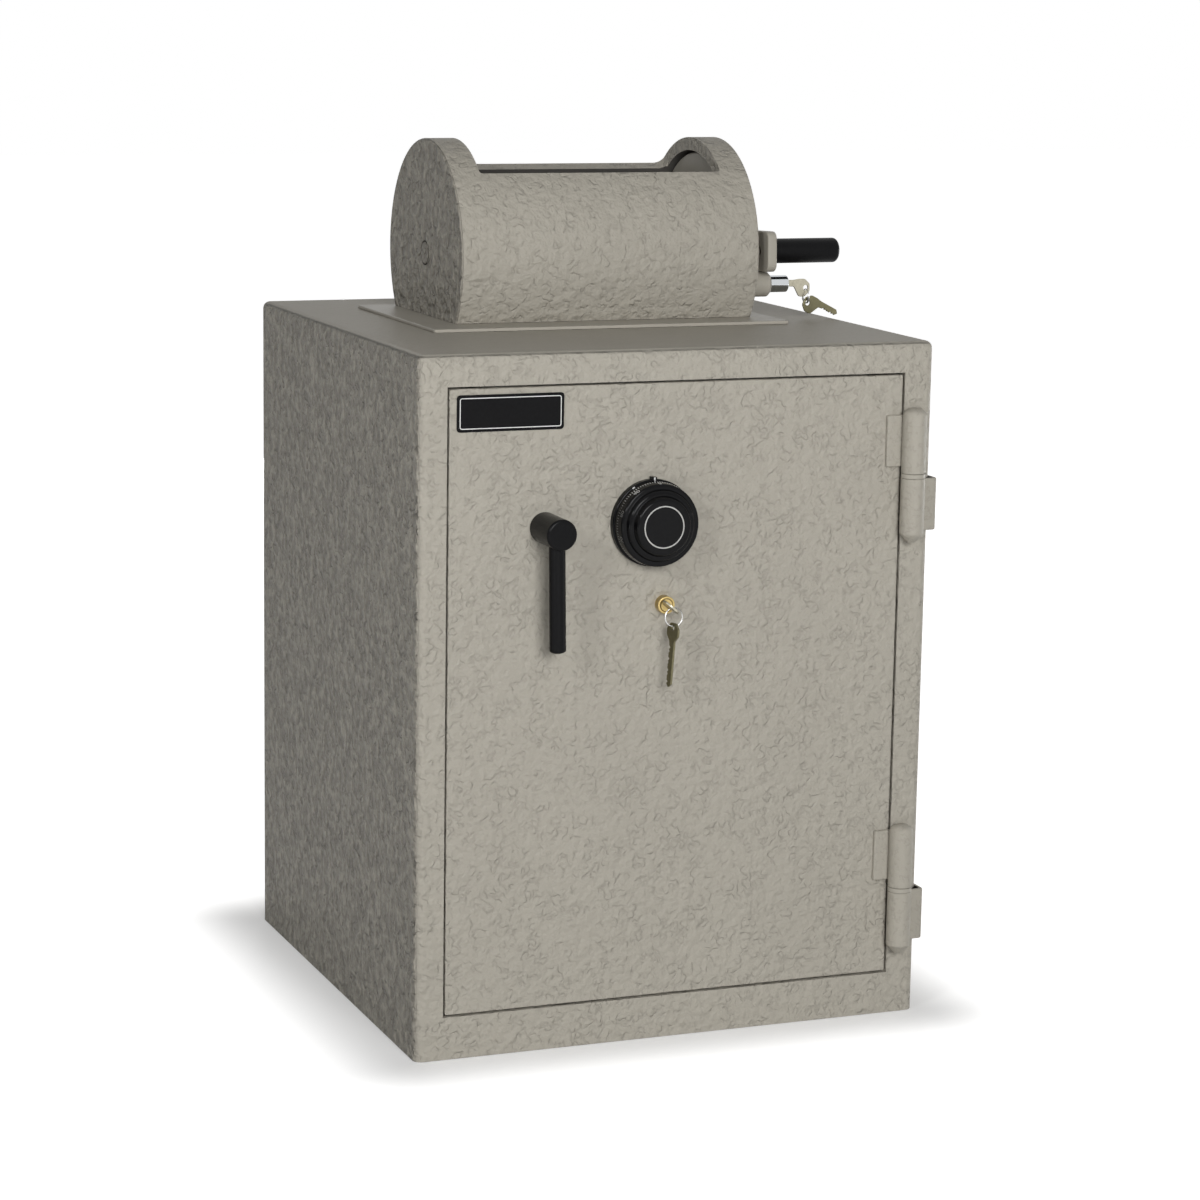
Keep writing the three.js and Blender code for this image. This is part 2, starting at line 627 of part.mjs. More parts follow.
// An upright bar with two arms: the lock bolt and the key's cam each block a lug on one of them.
function boltBar() {
  const x0 = pinX - BAR_WIDTH / 2;
  const x1 = pinX + BAR_WIDTH / 2;
  const y1 = barY + BAR_THICKNESS;
  const armTop = lockCaseTop + LOCK_BOLT_TRAVEL + LUG_GAP;
  const armLow = keyLockZ + KEY_CAM_LENGTH + LUG_GAP;
  const barTop = Math.max(boltZs[2] + BAR_END, armTop + UPPER_ARM);
  const body = block(x0, x1, barY, y1, boltZs[0] - BAR_END, barTop)
    .add(block(x1 - 1, ARM_RIGHT, barY, y1, armTop, armTop + UPPER_ARM))
    .add(block(x1 - 1, ARM_RIGHT, barY, y1, armLow, armLow + LOWER_ARM))
    .add(lug(DIAL_OFF_CENTRE + LOCK_BOLT_WIDTH / 2, armTop))
    .add(lug(KEY_LOCK_OFF_CENTRE + KEY_CAM_WIDTH / 2, armLow));
  const half = CAM_PIN_RADIUS + SLOT_PLAY;
  const slotBottom = handleZ - pinCircle - half;
  return body.subtract(block(pinX - half, pinX + half, barY - 1, y1 + 1, slotBottom, pinZ + half));
}

// A lug hangs from an arm, just to the right of what blocks it.
function lug(blockerEdge, armZ) {
  const x0 = blockerEdge + LUG_GAP;
  return block(x0, x0 + LUG_WIDTH, barY, barY + BAR_THICKNESS, armZ - LUG_LENGTH, armZ + 1);
}

function throwBolt(z) {
  const x0 = doorLeft + BOLT_SETBACK;
  const x1 = pinX - BAR_WIDTH / 2 - SEAM;
  const outline = [[0, x0], [BOLT_RADIUS - BOLT_NOSE, x0], [BOLT_RADIUS, x0 + BOLT_NOSE],
    [BOLT_RADIUS, x1], [0, x1]];
  return turned(outline, "x", [0, boltY, z]);
}

// Combination dial

const ringFrontY = frontY - SEAM - DIAL_RING_DEPTH;
const skirtBackY = ringFrontY - SEAM;

function dialRing() {
  const depth = DIAL_RING_DEPTH;
  const outline = [[DIAL_BORE, 0], [DIAL_RING_RADIUS, 0], [DIAL_RING_RADIUS, depth - DIAL_RING_EDGE],
    [DIAL_RING_RADIUS - DIAL_RING_EDGE, depth], [DIAL_BORE, depth], [DIAL_BORE, 0]];
  const ring = turned(outline, "front", [DIAL_OFF_CENTRE, frontY - SEAM, dialZ], FINE);
  const top = dialZ + DIAL_RING_RADIUS;
  const tab = block(DIAL_OFF_CENTRE - TAB_WIDTH / 2, DIAL_OFF_CENTRE + TAB_WIDTH / 2, ringFrontY + TAB_INSET,
    frontY - SEAM, top - TAB_HEIGHT, top + TAB_HEIGHT);
  return ring.add(tab);
}

// The dial is a wide knob: a straight skirt, and a front that rises in two low steps to a flat face.
function combinationDial() {
  const skirt = SKIRT_DEPTH;
  const step = skirt + KNOB_STEP;
  const face = step + KNOB_DEPTH;
  const outline = [
    [0, 0], [SKIRT_RADIUS, 0], [SKIRT_RADIUS, skirt - SKIRT_EDGE], [SKIRT_RADIUS - SKIRT_EDGE, skirt],
    [KNOB_RADIUS + KNOB_SLOPE, skirt], [KNOB_RADIUS, step - KNOB_EDGE], [KNOB_RADIUS - KNOB_EDGE, step],
    [KNOB_FACE_RADIUS + KNOB_SLOPE, step], [KNOB_FACE_RADIUS, face - KNOB_EDGE],
    [KNOB_FACE_RADIUS - KNOB_EDGE, face], [0, face],
  ];
  const dial = turned(outline, "front", [DIAL_OFF_CENTRE, skirtBackY, dialZ], FINE);
  const bore = DIAL_SPINDLE_RADIUS + SEAM;
  return dial.subtract(hole("y", bore, dialSpindleFront - SEAM, skirtBackY + 1, dialAt, SMALL));
}

// A solid turned about a line along y through a point of the front.
const turnedAbout = (body, x, z, degrees) =>
  body.translate([-x, 0, -z]).rotate([0, degrees, 0]).translate([x, 0, z]);

const dialSpindleFront = skirtBackY - SKIRT_DEPTH - KNOB_STEP;
const dialSpindleBack = doorBackY + LOCK_CASE_DEPTH / 2;

const dialSpindle = () => bar("y", DIAL_SPINDLE_RADIUS, dialSpindleFront, dialSpindleBack, dialAt, SMALL);

const lockCaseTop = dialZ + LOCK_CASE_HEIGHT / 2;
const lockBoltY = barY + BAR_THICKNESS / 2 - LOCK_BOLT_DEPTH / 2;

function lockCase() {
  const x0 = DIAL_OFF_CENTRE - LOCK_CASE_WIDTH / 2;
  const body = block(x0, x0 + LOCK_CASE_WIDTH, insideY, insideY + LOCK_CASE_DEPTH,
    lockCaseTop - LOCK_CASE_HEIGHT, lockCaseTop);
  const bore = DIAL_SPINDLE_RADIUS + PLAY;
  const spindleHole = hole("y", bore, insideY - 1, dialSpindleBack + PLAY, dialAt, SMALL);
  const half = LOCK_BOLT_WIDTH / 2 + SEAM;
  const channel = block(DIAL_OFF_CENTRE - half, DIAL_OFF_CENTRE + half, lockBoltY - SEAM,
    lockBoltY + LOCK_BOLT_DEPTH + SEAM, lockCaseTop - LOCK_BOLT_SEAT - PLAY, lockCaseTop + 1);
  return body.subtract(spindleHole).subtract(channel);
}

const lockBolt = () => block(DIAL_OFF_CENTRE - LOCK_BOLT_WIDTH / 2, DIAL_OFF_CENTRE + LOCK_BOLT_WIDTH / 2,
  lockBoltY, lockBoltY + LOCK_BOLT_DEPTH, lockCaseTop - LOCK_BOLT_SEAT, lockCaseTop);

// Key lock in the door

const barrelFrontY = frontY - KEY_BARREL_OUT;
const keyCamY = barY + BAR_THICKNESS / 2 - KEY_CAM_THICKNESS / 2;

const keyBarrel = () => tube("y", KEY_BARREL_RADIUS, KEY_PLUG_RADIUS + SEAM, barrelFrontY,
  insideY + KEY_NUT_THICKNESS, keyAt);

function keyNut() {
  const nut = bar("y", KEY_NUT_RADIUS, insideY, insideY + KEY_NUT_THICKNESS - SEAM, keyAt, 6);
  const thread = hole("y", KEY_BARREL_RADIUS + SEAM, insideY - 1, insideY + KEY_NUT_THICKNESS + 1, keyAt);
  return nut.subtract(thread);
}

// The plug turns with the key, and its cam swings from the left to the top.
function keyPlug() {
  const [x, z] = keyAt;
  const plug = bar("y", KEY_PLUG_RADIUS, barrelFrontY, keyCamY + 1, keyAt, MEDIUM);
  const cam = block(x - KEY_CAM_LENGTH, x + KEY_CAM_WIDTH / 2, keyCamY, keyCamY + KEY_CAM_THICKNESS,
    z - KEY_CAM_WIDTH / 2, z + KEY_CAM_WIDTH / 2);
  const half = DOOR_KEY.blade / 2 + SEAM;
  const way = block(x - half, x + half, barrelFrontY - 1, barrelFrontY + doorBladeInside + 1,
    z - KEY_THICKNESS / 2 - SEAM, z + KEY_THICKNESS / 2 + SEAM);
  return plug.add(cam).subtract(turnedAbout(way, x, z, KEY_SLOT_ANGLE));
}

// How far the door key's blade reaches into its plug.
const doorBladeInside = FRONT_WALL + KEY_BARREL_OUT;

// Keys

// A flat key with the hole of its bow at the origin, the bow's width along x and the blade towards -y.
function keyBlank(key, bladeLength = key.bladeLength) {
  const half = key.bow / 2;
  const clip = half * 0.42;
  const top = KEY_HOLE_INSET;
  const shoulder = top - key.bowLength;
  const bladeLeft = -key.offset - key.blade / 2;
  const bladeRight = bladeLeft + key.blade;
  const shape = new THREE.Shape();
  shape.moveTo(bladeLeft, shoulder);
  shape.lineTo(-half, shoulder + clip);
  shape.lineTo(-half, top - clip);
  shape.lineTo(-half + clip, top);
  shape.lineTo(half - clip, top);
  shape.lineTo(half, top - clip);
  shape.lineTo(half, shoulder + clip);
  shape.lineTo(bladeRight + 1, shoulder);
  shape.lineTo(bladeRight, shoulder - 1);
  const cuts = Math.floor((bladeLength - key.neck) / KEY_BITTING_STEP) - 1;
  for (let cut = 0; cut < cuts; cut += 1) {
    const y = shoulder - key.neck - KEY_BITTING_STEP * (cut + 0.8);
    const depth = key.blade * (0.16 + 0.12 * (cut * 2 % 3));
    shape.lineTo(bladeRight, y + KEY_BITTING_STEP * 0.4);
    shape.lineTo(bladeRight - depth, y);
    shape.lineTo(bladeRight, y - KEY_BITTING_STEP * 0.4);
  }
  shape.lineTo(bladeRight, shoulder - bladeLength + key.blade / 3);
  shape.lineTo(bladeRight - key.blade / 3, shoulder - bladeLength);
  shape.lineTo(bladeLeft + key.blade / 3, shoulder - bladeLength);
  shape.lineTo(bladeLeft, shoulder - bladeLength + key.blade / 3);
  const flat = new THREE.ExtrudeGeometry(shape, { depth: KEY_THICKNESS, bevelEnabled: false });
  return solid(flat.translate(0, 0, -KEY_THICKNESS / 2))
    .subtract(hole("z", KEY_HOLE_RADIUS, -KEY_THICKNESS, KEY_THICKNESS, [0, 0], SMALL));
}

// Where the hole of a key's bow lies, measured out from the face that the key goes into.
const holeOut = (key) => key.neck + key.bowLength - KEY_HOLE_INSET;

// The key in the door: its blade runs along +y and its bow lies along the slot.
const doorKeyHole = new THREE.Vector3(keyAt[0], barrelFrontY - holeOut(DOOR_KEY), keyAt[1]);

const doorKey = () => keyBlank(DOOR_KEY, doorBladeInside + DOOR_KEY.neck)
  .rotate([0, 0, 180]).rotate([0, KEY_SLOT_ANGLE, 0]).translate([...doorKeyHole]);

// The centre of a ring that hangs from a hole, swung by a tilt to the right.
function ringCentre(hole, radius, degrees) {
  const turn = THREE.MathUtils.degToRad(degrees);
  return new THREE.Vector3(hole.x + radius * Math.sin(turn), hole.y, hole.z - radius * Math.cos(turn));
}

const wireRing = (radius) => solid(new THREE.TorusGeometry(radius, KEY_RING_WIRE, 6, 28));

// The door's ring lies parallel to the door, and its spare key hangs from the bottom, nearly edge-on.
const doorRingAt = ringCentre(doorKeyHole, DOOR_RING_RADIUS, DOOR_RING_TILT);
const ringSeat = KEY_HOLE_RADIUS - KEY_RING_WIRE - SEAM;
const doorSpareDrop = DOOR_RING_RADIUS + ringSeat;
const doorSpareHole = new THREE.Vector3(doorRingAt.x, doorRingAt.y, doorRingAt.z - doorSpareDrop);

const doorKeyRing = () => wireRing(DOOR_RING_RADIUS).rotate([90, 0, 0]).translate([...doorRingAt]);

const doorSpareKey = () => keyBlank(DOOR_KEY).rotate([90, 0, 90 + DOOR_SPARE_TURN])
  .rotate([0, DOOR_SPARE_LEAN, 0]).translate([...doorSpareHole]);

// Hopper

function hopperBasePlate() {
  const half = HOPPER_LENGTH / 2 + BASE_PLATE_SIDE;
  const middle = HOPPER_OFF_CENTRE + BASE_PLATE_OFF_CENTRE;
  const outline = roundedOutline(middle - half, middle + half, HOPPER_SETBACK - footHalf - BASE_PLATE_FRONT,
    HOPPER_SETBACK + footHalf + BASE_PLATE_BACK, BASE_PLATE_CORNER);
  const geometry = new THREE.ExtrudeGeometry(outline, {
    depth: BASE_PLATE_THICKNESS - 2 * BASE_PLATE_EDGE,
    curveSegments: 3,
    ...bevel(BASE_PLATE_EDGE),
  });
  return solid(geometry.translate(0, 0, CABINET_HEIGHT + SEAM + BASE_PLATE_EDGE)).subtract(throat());
}

const aboveBase = (body) => body.subtract(block(hopperX0 - 10, hopperX1 + 10, -CABINET_DEPTH, CABINET_DEPTH,
  0, basePlateTop + SEAM));

// Half of the window's cut: a channel with round corners that falls towards the inside of the pipe.
function windowHalf(fillet) {
  const shape = roundedOutline(windowX0, windowX1, 0, HOPPER_RADIUS * 2, fillet);
  const depth = HOPPER_RADIUS * 2;
  const geometry = new THREE.ExtrudeGeometry(shape, { depth, curveSegments: 5, ...bevel(0) });
  return geometry.rotateX(Math.PI / 2 - THREE.MathUtils.degToRad(WINDOW_SLOPE));
}

function hopperWindow() {
  const rise = hopperZ + WINDOW_RISE;
  const y0 = HOPPER_SETBACK - WINDOW_HALF_WIDTH;
  const y1 = HOPPER_SETBACK + WINDOW_HALF_WIDTH;
  const centreX = (windowX0 + windowX1) / 2;
  const front = windowHalf(WINDOW_FILLET_FRONT).translate(0, y0, rise);
  const back = windowHalf(WINDOW_FILLET_BACK).translate(-centreX, 0, 0).rotateZ(Math.PI);
  back.translate(centreX, y1, rise);
  const middle = block(windowX0, windowX1, y0 - 1, y1 + 1, rise, rise + HOPPER_RADIUS);
  return solid(front).add(solid(back)).add(middle);
}

function hopperHousing() {
  const pipe = tube("x", HOPPER_RADIUS, hopperInner, hopperX0 + END_PLATE + SEAM, hopperX1 - END_PLATE - SEAM,
    axleLine, FINE);
  return aboveBase(pipe).subtract(hopperWindow());
}

function endPlate(x0) {
  return aboveBase(bar("x", HOPPER_RADIUS, x0, x0 + END_PLATE, axleLine, FINE));
}

const endPlateLeft = () => endPlate(hopperX0)
  .subtract(hole("x", AXLE_RADIUS + SEAM, hopperX0 - 1, hopperX0 + END_PLATE + 1, axleLine));

const endPlateRight = () => endPlate(hopperX1 - END_PLATE)
  .subtract(hole("x", AXLE_RADIUS + SEAM, hopperX1 - END_PLATE - 1, hopperX1 + 1, axleLine))
  .subtract(hole("x", LOCK_PIN_RADIUS + PLAY, hopperX1 - END_PLATE - 1, hopperX1 + 1, lockAt, SMALL));

// A flanged bush fills the gap between an end plate and the drum's disc.
function axleBush(plateFace, discFace) {
  const x0 = Math.min(plateFace, discFace) + SEAM;
  const x1 = Math.max(plateFace, discFace) - SEAM;
  return tube("x", BUSH_FLANGE_RADIUS, AXLE_RADIUS + SEAM, x0, x1, axleLine);
}

// Drum

function drumShell() {
  const shell = tube("x", drumRadius, drumInner, discLeftX + SEAM, discRightX - SEAM, axleLine, FINE);
  const half = THREE.MathUtils.degToRad(DRUM_MOUTH_HALF_ANGLE);
  const reach = drumRadius * 1.6;
  const wedge = new THREE.Shape();
  wedge.moveTo(HOPPER_SETBACK, hopperZ);
  wedge.lineTo(HOPPER_SETBACK + reach * Math.sin(half), hopperZ + reach * Math.cos(half));
  wedge.lineTo(HOPPER_SETBACK - reach * Math.sin(half), hopperZ + reach * Math.cos(half));
  return shell.subtract(sidePlate(wedge, discLeftX - 1, discRightX + 1));
}

const drumDisc = (x0) => bar("x", drumRadius, x0, x0 + DRUM_DISC, axleLine, FINE);

// The right disc has two holes, half a turn apart, that the lock's pin enters.
function drumDiscRight() {
  const pinHole = (place) =>
    hole("x", LOCK_PIN_RADIUS + PLAY, discRightX - 1, discRightX + DRUM_DISC + 1, place, SMALL);
  return drumDisc(discRightX)
    .subtract(pinHole(lockAt))
    .subtract(pinHole([2 * HOPPER_SETBACK - lockY, 2 * hopperZ - lockZ]));
}

// The left axle's end shows in the end plate, with a turner's centre mark.
function axleLeft() {
  const x1 = discLeftX - DRUM_DISC - SEAM;
  const x0 = hopperX0 - AXLE_PROUD;
  const mark = hole("x", AXLE_MARK_RADIUS, x0 - 1, x0 + AXLE_MARK_DEPTH, axleLine, SMALL);
  return bar("x", AXLE_RADIUS, x0, x1, axleLine).subtract(mark);
}

const axleRight = () => bar("x", AXLE_RADIUS, discRightX + DRUM_DISC + SEAM, crankX1 - 1, axleLine);

// Crank

// A solid turned about the drum's axle by the crank's tilt.
const tilted = (body) => body.translate([0, -HOPPER_SETBACK, -hopperZ]).rotate([-CRANK_TILT, 0, 0])
  .translate([0, HOPPER_SETBACK, hopperZ]);

const gripY = HOPPER_SETBACK - CRANK_REACH;
const gripLine = [gripY, hopperZ];

function crankArm() {
  const outline = roundedOutline(gripY - CRANK_END, HOPPER_SETBACK + CRANK_END, hopperZ - CRANK_HEIGHT / 2,
    hopperZ + CRANK_HEIGHT / 2, CRANK_CORNER);
  const arm = sidePlate(outline, crankX0, crankX1, CRANK_EDGE)
    .subtract(hole("x", AXLE_RADIUS + SEAM, crankX0 - 1, crankX1 + 1, axleLine))
    .subtract(hole("x", GRIP_BOLT_RADIUS + SEAM, crankX0 - 1, crankX1 + 1, gripLine, SMALL));
  return tilted(arm);
}

function crankGrip() {
  const length = GRIP_LENGTH - SEAM;
  const outline = [[0, 0], [GRIP_RADIUS, 0], [GRIP_RADIUS, length - GRIP_ROUND]];
  for (let step = 1; step <= 4; step += 1) {
    const turn = step / 4 * Math.PI / 2;
    const rim = GRIP_RADIUS - GRIP_ROUND * (1 - Math.cos(turn));
    outline.push([rim, length - GRIP_ROUND * (1 - Math.sin(turn))]);
  }
  outline.push([0, length]);
  const bore = GRIP_BOLT_RADIUS + SEAM;
  const boltHole = hole("x", bore, crankX1 - 1, crankX1 + GRIP_BOLT_REACH + SEAM, gripLine, SMALL);
  return tilted(turned(outline, "x", [crankX1 + SEAM, gripY, hopperZ]).subtract(boltHole));
}

const gripBolt = () => tilted(bar("x", GRIP_BOLT_RADIUS, crankX0 + GRIP_BOLT_RECESS,
  crankX1 + GRIP_BOLT_REACH, gripLine, SMALL));

function axleCap() {
  const x1 = crankX1 + SEAM + AXLE_CAP_THICKNESS;
  const socket = hole("x", AXLE_CAP_SOCKET, x1 - AXLE_CAP_SOCKET_DEPTH, x1 + 1, axleLine, 6);
  return tilted(bar("x", AXLE_CAP_RADIUS, crankX1 + SEAM, x1, axleLine).subtract(socket));
}

// Hopper lock

function lockBoss() {
  const x0 = hopperX1 + SEAM;
  const length = bossEndX - x0;
  const bore = PLUNGER_RADIUS + SEAM;
  const chamfer = HOPPER_LOCK_CHAMFER;
  const outline = [[bore, 0], [HOPPER_LOCK_RADIUS, 0], [HOPPER_LOCK_RADIUS, length - chamfer],
    [HOPPER_LOCK_RADIUS - chamfer, length], [bore, length], [bore, 0]];
  return turned(outline, "x", [x0, ...lockAt]);
}

// At rest the plunger is out and its pin clear of the drum; pushed in, the pin enters the disc.
function lockPlunger() {
  const x0 = hopperX1 + PLUNGER_TRAVEL + PLAY;
  const pinX0 = discRightX + DRUM_DISC + LOCK_PIN_GAP;
  const outline = [[0, x0], [PLUNGER_RADIUS, x0], [PLUNGER_RADIUS, plungerEndX - PLUNGER_EDGE],
    [PLUNGER_RADIUS - PLUNGER_EDGE, plungerEndX], [0, plungerEndX]];
  const pin = bar("x", LOCK_PIN_RADIUS, pinX0, x0 + 1, lockAt, SMALL);
  const bore = hole("x", HOPPER_PLUG_RADIUS + SEAM, plugEndX - SEAM, plungerEndX + 1, lockAt, SMALL);
  return turned(outline, "x", [0, ...lockAt]).add(pin).subtract(bore);
}

// The turning plug of the plunger, slotted for the key.
function hopperPlug() {
  const plug = bar("x", HOPPER_PLUG_RADIUS, plugEndX, plungerEndX, lockAt, SMALL);
  const half = HOPPER_KEY.blade / 2 + SEAM;
  const thin = KEY_THICKNESS / 2 + SEAM;
  const way = block(plungerEndX - HOPPER_BLADE_INSIDE - SEAM, plungerEndX + 1, lockY - thin, lockY + thin,
    lockZ - half, lockZ + half);
  return plug.subtract(way);
}

// The key in the plunger: its blade runs along -x, and the bow's middle is lower than the blade.
const hopperKeyHole = new THREE.Vector3(plungerEndX + holeOut(HOPPER_KEY), lockY, lockZ - HOPPER_KEY.offset);

const hopperKey = () => keyBlank(HOPPER_KEY, HOPPER_KEY.neck + HOPPER_BLADE_INSIDE)
  .rotate([90, 90, 0]).translate([...hopperKeyHole]);

// The hopper's ring stands across the two bows, and the spare key hangs a little way round it.
const hopperRingAt = ringCentre(hopperKeyHole, HOPPER_RING_RADIUS + ringSeat, HOPPER_RING_TILT);

const hopperKeyRing = () => wireRing(HOPPER_RING_RADIUS).rotate([0, 90, 0]).rotate([0, -HOPPER_RING_TILT, 0])
  .translate([...hopperRingAt]);

const spareRound = THREE.MathUtils.degToRad(HOPPER_SPARE_ROUND);
const spareReach = HOPPER_RING_RADIUS + HOPPER_SPARE_SEAT;
const spareDrop = ringCentre(hopperRingAt, spareReach * Math.cos(spareRound), HOPPER_RING_TILT);
const hopperSpareHole = spareDrop.setY(lockY - spareReach * Math.sin(spareRound));

// The spare key leans out with its tip just clear of the roof's edge, and its blade on the bow's upper side.
const hopperSpareKey = () => keyBlank(HOPPER_KEY).rotate([0, 180, 0])
  .rotate([90, HOPPER_SPARE_PITCH - 90, 0]).translate([...hopperSpareHole]);

// The whole safe

const safe = new THREE.Group();

function put(name, form, material) {
  const mesh = new THREE.Mesh(surface(form), material);
  mesh.name = name;
  safe.add(mesh);
}

put("cabinet_shell", cabinetShell(), WRINKLE_PAINT);
put("back_panel", backPanel(), WRINKLE_PAINT);
put("door_stop_top", doorStop(openTop, -1), INNER_PAINT);
put("door_stop_bottom", doorStop(openBottom, 1), INNER_PAINT);
put("deposit_baffle", depositBaffle(), INNER_PAINT);
for (const [place, bottom] of Object.entries(hingePlaces)) {
  put(`hinge_${place}_body_leaf`, bodyLeaf(bottom), WRINKLE_PAINT);
  put(`hinge_${place}_door_leaf`, doorLeaf(bottom), WRINKLE_PAINT);
  put(`hinge_${place}_pin`, hingePin(bottom), STEEL);
  put(`hinge_${place}_washer`, hingeWasher(bottom), WRINKLE_PAINT);
}
put("door_plate", doorPlate(), WRINKLE_PAINT);
put("bolt_guide", boltGuide(), INNER_PAINT);
put("boltwork_cover", boltworkCover(), INNER_PAINT);
put("dead_bar", deadBar(), INNER_PAINT);
put("bar_strap_upper", barStrap(doorTop - STRAP_INSET), STEEL);
put("bar_strap_lower", barStrap(doorBottom + STRAP_INSET), STEEL);
put("name_plate", namePlate(), BLACK_GLOSS);
put("handle_hub", handleHub(), BLACK_GLOSS);
put("handle_rod", handleRod(), BLACK_GLOSS);
put("handle_spindle", handleSpindle(), STEEL);
put("bolt_bar", boltBar(), STEEL);
["lower", "middle", "upper"].forEach((place, index) => put(`bolt_${place}`, throwBolt(boltZs[index]), STEEL));
put("dial_ring", dialRing(), BLACK_GLOSS);
put("combination_dial", combinationDial(), BLACK_GLOSS);
put("dial_spindle", dialSpindle(), STEEL);
put("lock_case", lockCase(), STEEL);
put("lock_bolt", lockBolt(), BRASS);
put("key_barrel", keyBarrel(), BRASS);
put("key_nut", keyNut(), BRASS);
put("key_plug", keyPlug(), BRASS);
put("door_key", doorKey(), CHROME);
put("door_key_ring", doorKeyRing(), CHROME);
put("door_spare_key", doorSpareKey(), NICKEL);
put("hopper_base_plate", hopperBasePlate(), SMOOTH_PAINT);
put("hopper_housing", hopperHousing(), WRINKLE_PAINT);
put("end_plate_left", endPlateLeft(), SMOOTH_PAINT);
put("end_plate_right", endPlateRight(), SMOOTH_PAINT);
put("axle_bush_left", axleBush(hopperX0 + END_PLATE, discLeftX - DRUM_DISC), BRASS);
put("axle_bush_right", axleBush(hopperX1 - END_PLATE, discRightX + DRUM_DISC), BRASS);
put("drum_shell", drumShell(), SMOOTH_PAINT);
put("drum_disc_left", drumDisc(discLeftX - DRUM_DISC), SMOOTH_PAINT);
put("drum_disc_right", drumDiscRight(), SMOOTH_PAINT);
put("axle_left", axleLeft(), STEEL);
put("axle_right", axleRight(), STEEL);
put("crank_arm", crankArm(), SMOOTH_PAINT);
put("crank_grip", crankGrip(), BLACK_RUBBER);
put("grip_bolt", gripBolt(), STEEL);
put("axle_cap", axleCap(), STEEL);
put("lock_boss", lockBoss(), SMOOTH_PAINT);
put("lock_plunger", lockPlunger(), CHROME);
put("hopper_plug", hopperPlug(), CHROME);
put("hopper_key", hopperKey(), CHROME);
put("hopper_key_ring", hopperKeyRing(), CHROME);
put("hopper_spare_key", hopperSpareKey(), NICKEL);

export default safe;
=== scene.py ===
# %% [markdown]
# # A rotary hopper safe
#
# A deposit safe is a welded steel box whose door carries a combination dial, a key lock and a handle.
# On its roof lies a short length of pipe with a window in its top, and in the pipe turns a drum.
# A bag laid in the drum falls into the box when the crank is turned, and no hand can reach after it.
#
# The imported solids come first: they say where each piece is, in metres, and what it moves with.

import bmesh
import bpy
import numpy as np
from mathutils import Matrix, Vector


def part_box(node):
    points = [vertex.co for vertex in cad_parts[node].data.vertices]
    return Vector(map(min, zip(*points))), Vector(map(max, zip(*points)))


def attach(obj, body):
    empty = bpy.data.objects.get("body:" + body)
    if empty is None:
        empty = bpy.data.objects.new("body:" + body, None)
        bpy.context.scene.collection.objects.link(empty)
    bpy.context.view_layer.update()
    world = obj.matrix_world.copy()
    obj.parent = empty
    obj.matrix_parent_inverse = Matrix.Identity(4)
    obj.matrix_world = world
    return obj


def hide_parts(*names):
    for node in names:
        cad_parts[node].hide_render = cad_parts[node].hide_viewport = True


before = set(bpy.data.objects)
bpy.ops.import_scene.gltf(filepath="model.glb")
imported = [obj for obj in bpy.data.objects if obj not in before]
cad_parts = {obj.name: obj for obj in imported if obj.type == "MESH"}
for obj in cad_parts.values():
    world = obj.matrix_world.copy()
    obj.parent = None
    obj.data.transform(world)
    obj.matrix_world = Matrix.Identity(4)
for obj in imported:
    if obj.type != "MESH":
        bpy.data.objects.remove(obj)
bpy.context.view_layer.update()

# %% [markdown]
# ## Camera
#
# The photograph was taken from the front left, a little above the roof, with a long lens. The place and
# the turn come from fitting a pinhole camera to the cabinet's corners, so edges land where they should.

# %% Camera
MM = 0.001
CAMERA_PLACE = np.array([-1184.25, -3026.32, 980.13]) * MM
CAMERA_YAW, CAMERA_PITCH, CAMERA_ROLL = np.radians([21.718, -10.641, 0.915])


def looking(yaw, pitch, roll):
    """Right, up and forward of a camera: forward is turned by yaw from +Y towards +X and raised by pitch."""
    forward = np.array([np.sin(yaw) * np.cos(pitch), np.cos(yaw) * np.cos(pitch), np.sin(pitch)])
    level = np.array([np.cos(yaw), -np.sin(yaw), 0.0])
    above = np.cross(level, forward)
    right = level * np.cos(roll) + above * np.sin(roll)
    up = above * np.cos(roll) - level * np.sin(roll)
    return right, up, forward


right, up, forward = looking(CAMERA_YAW, CAMERA_PITCH, CAMERA_ROLL)
lens = bpy.data.cameras.new("camera")
lens.sensor_fit = "HORIZONTAL"
lens.sensor_width = 36
lens.lens = 100.94
lens.clip_end = 50
camera = bpy.data.objects.new("camera", lens)
placing = Matrix(np.vstack([np.column_stack([right, up, -forward, CAMERA_PLACE]), [0, 0, 0, 1]]).tolist())
camera.matrix_world = placing
bpy.context.scene.collection.objects.link(camera)
bpy.context.scene.camera = camera
bpy.context.scene.view_settings.view_transform = "Standard"
print("camera:", CAMERA_PLACE, "m, lens", lens.lens, "mm")

# %% [markdown]
# ## Surfaces
#
# Nearly everything here is a turned piece or a plate. Both are rows of points: a turned piece has one
# row for each point of its profile, and a plate has one row for each step across its rounded edge. One
# function joins rows into faces, so a shape is only ever a table of points worked out with numpy.

# %% Rows of points to faces
def joined(rows, around=True, along=False):
    """Faces between neighbouring rows of points. rows has the shape (row, point, 3).
    around joins each row's last point to its first, and along joins the last row to the first.
    Open ends are closed by a flat face each, and a row of equal points becomes a pole."""
    count, points = rows.shape[:2]
    index = np.arange(count * points).reshape(count, points)
    if around:
        index = np.hstack([index, index[:, :1]])
    if along:
        index = np.vstack([index, index[:1]])
    quads = np.stack([index[:-1, :-1], index[:-1, 1:], index[1:, 1:], index[1:, :-1]], axis=-1)
    faces = quads.reshape(-1, 4).tolist()
    if around and not along:
        faces += [index[0, :-1][::-1].tolist(), index[-1, :-1].tolist()]
    return rows.reshape(-1, 3), faces


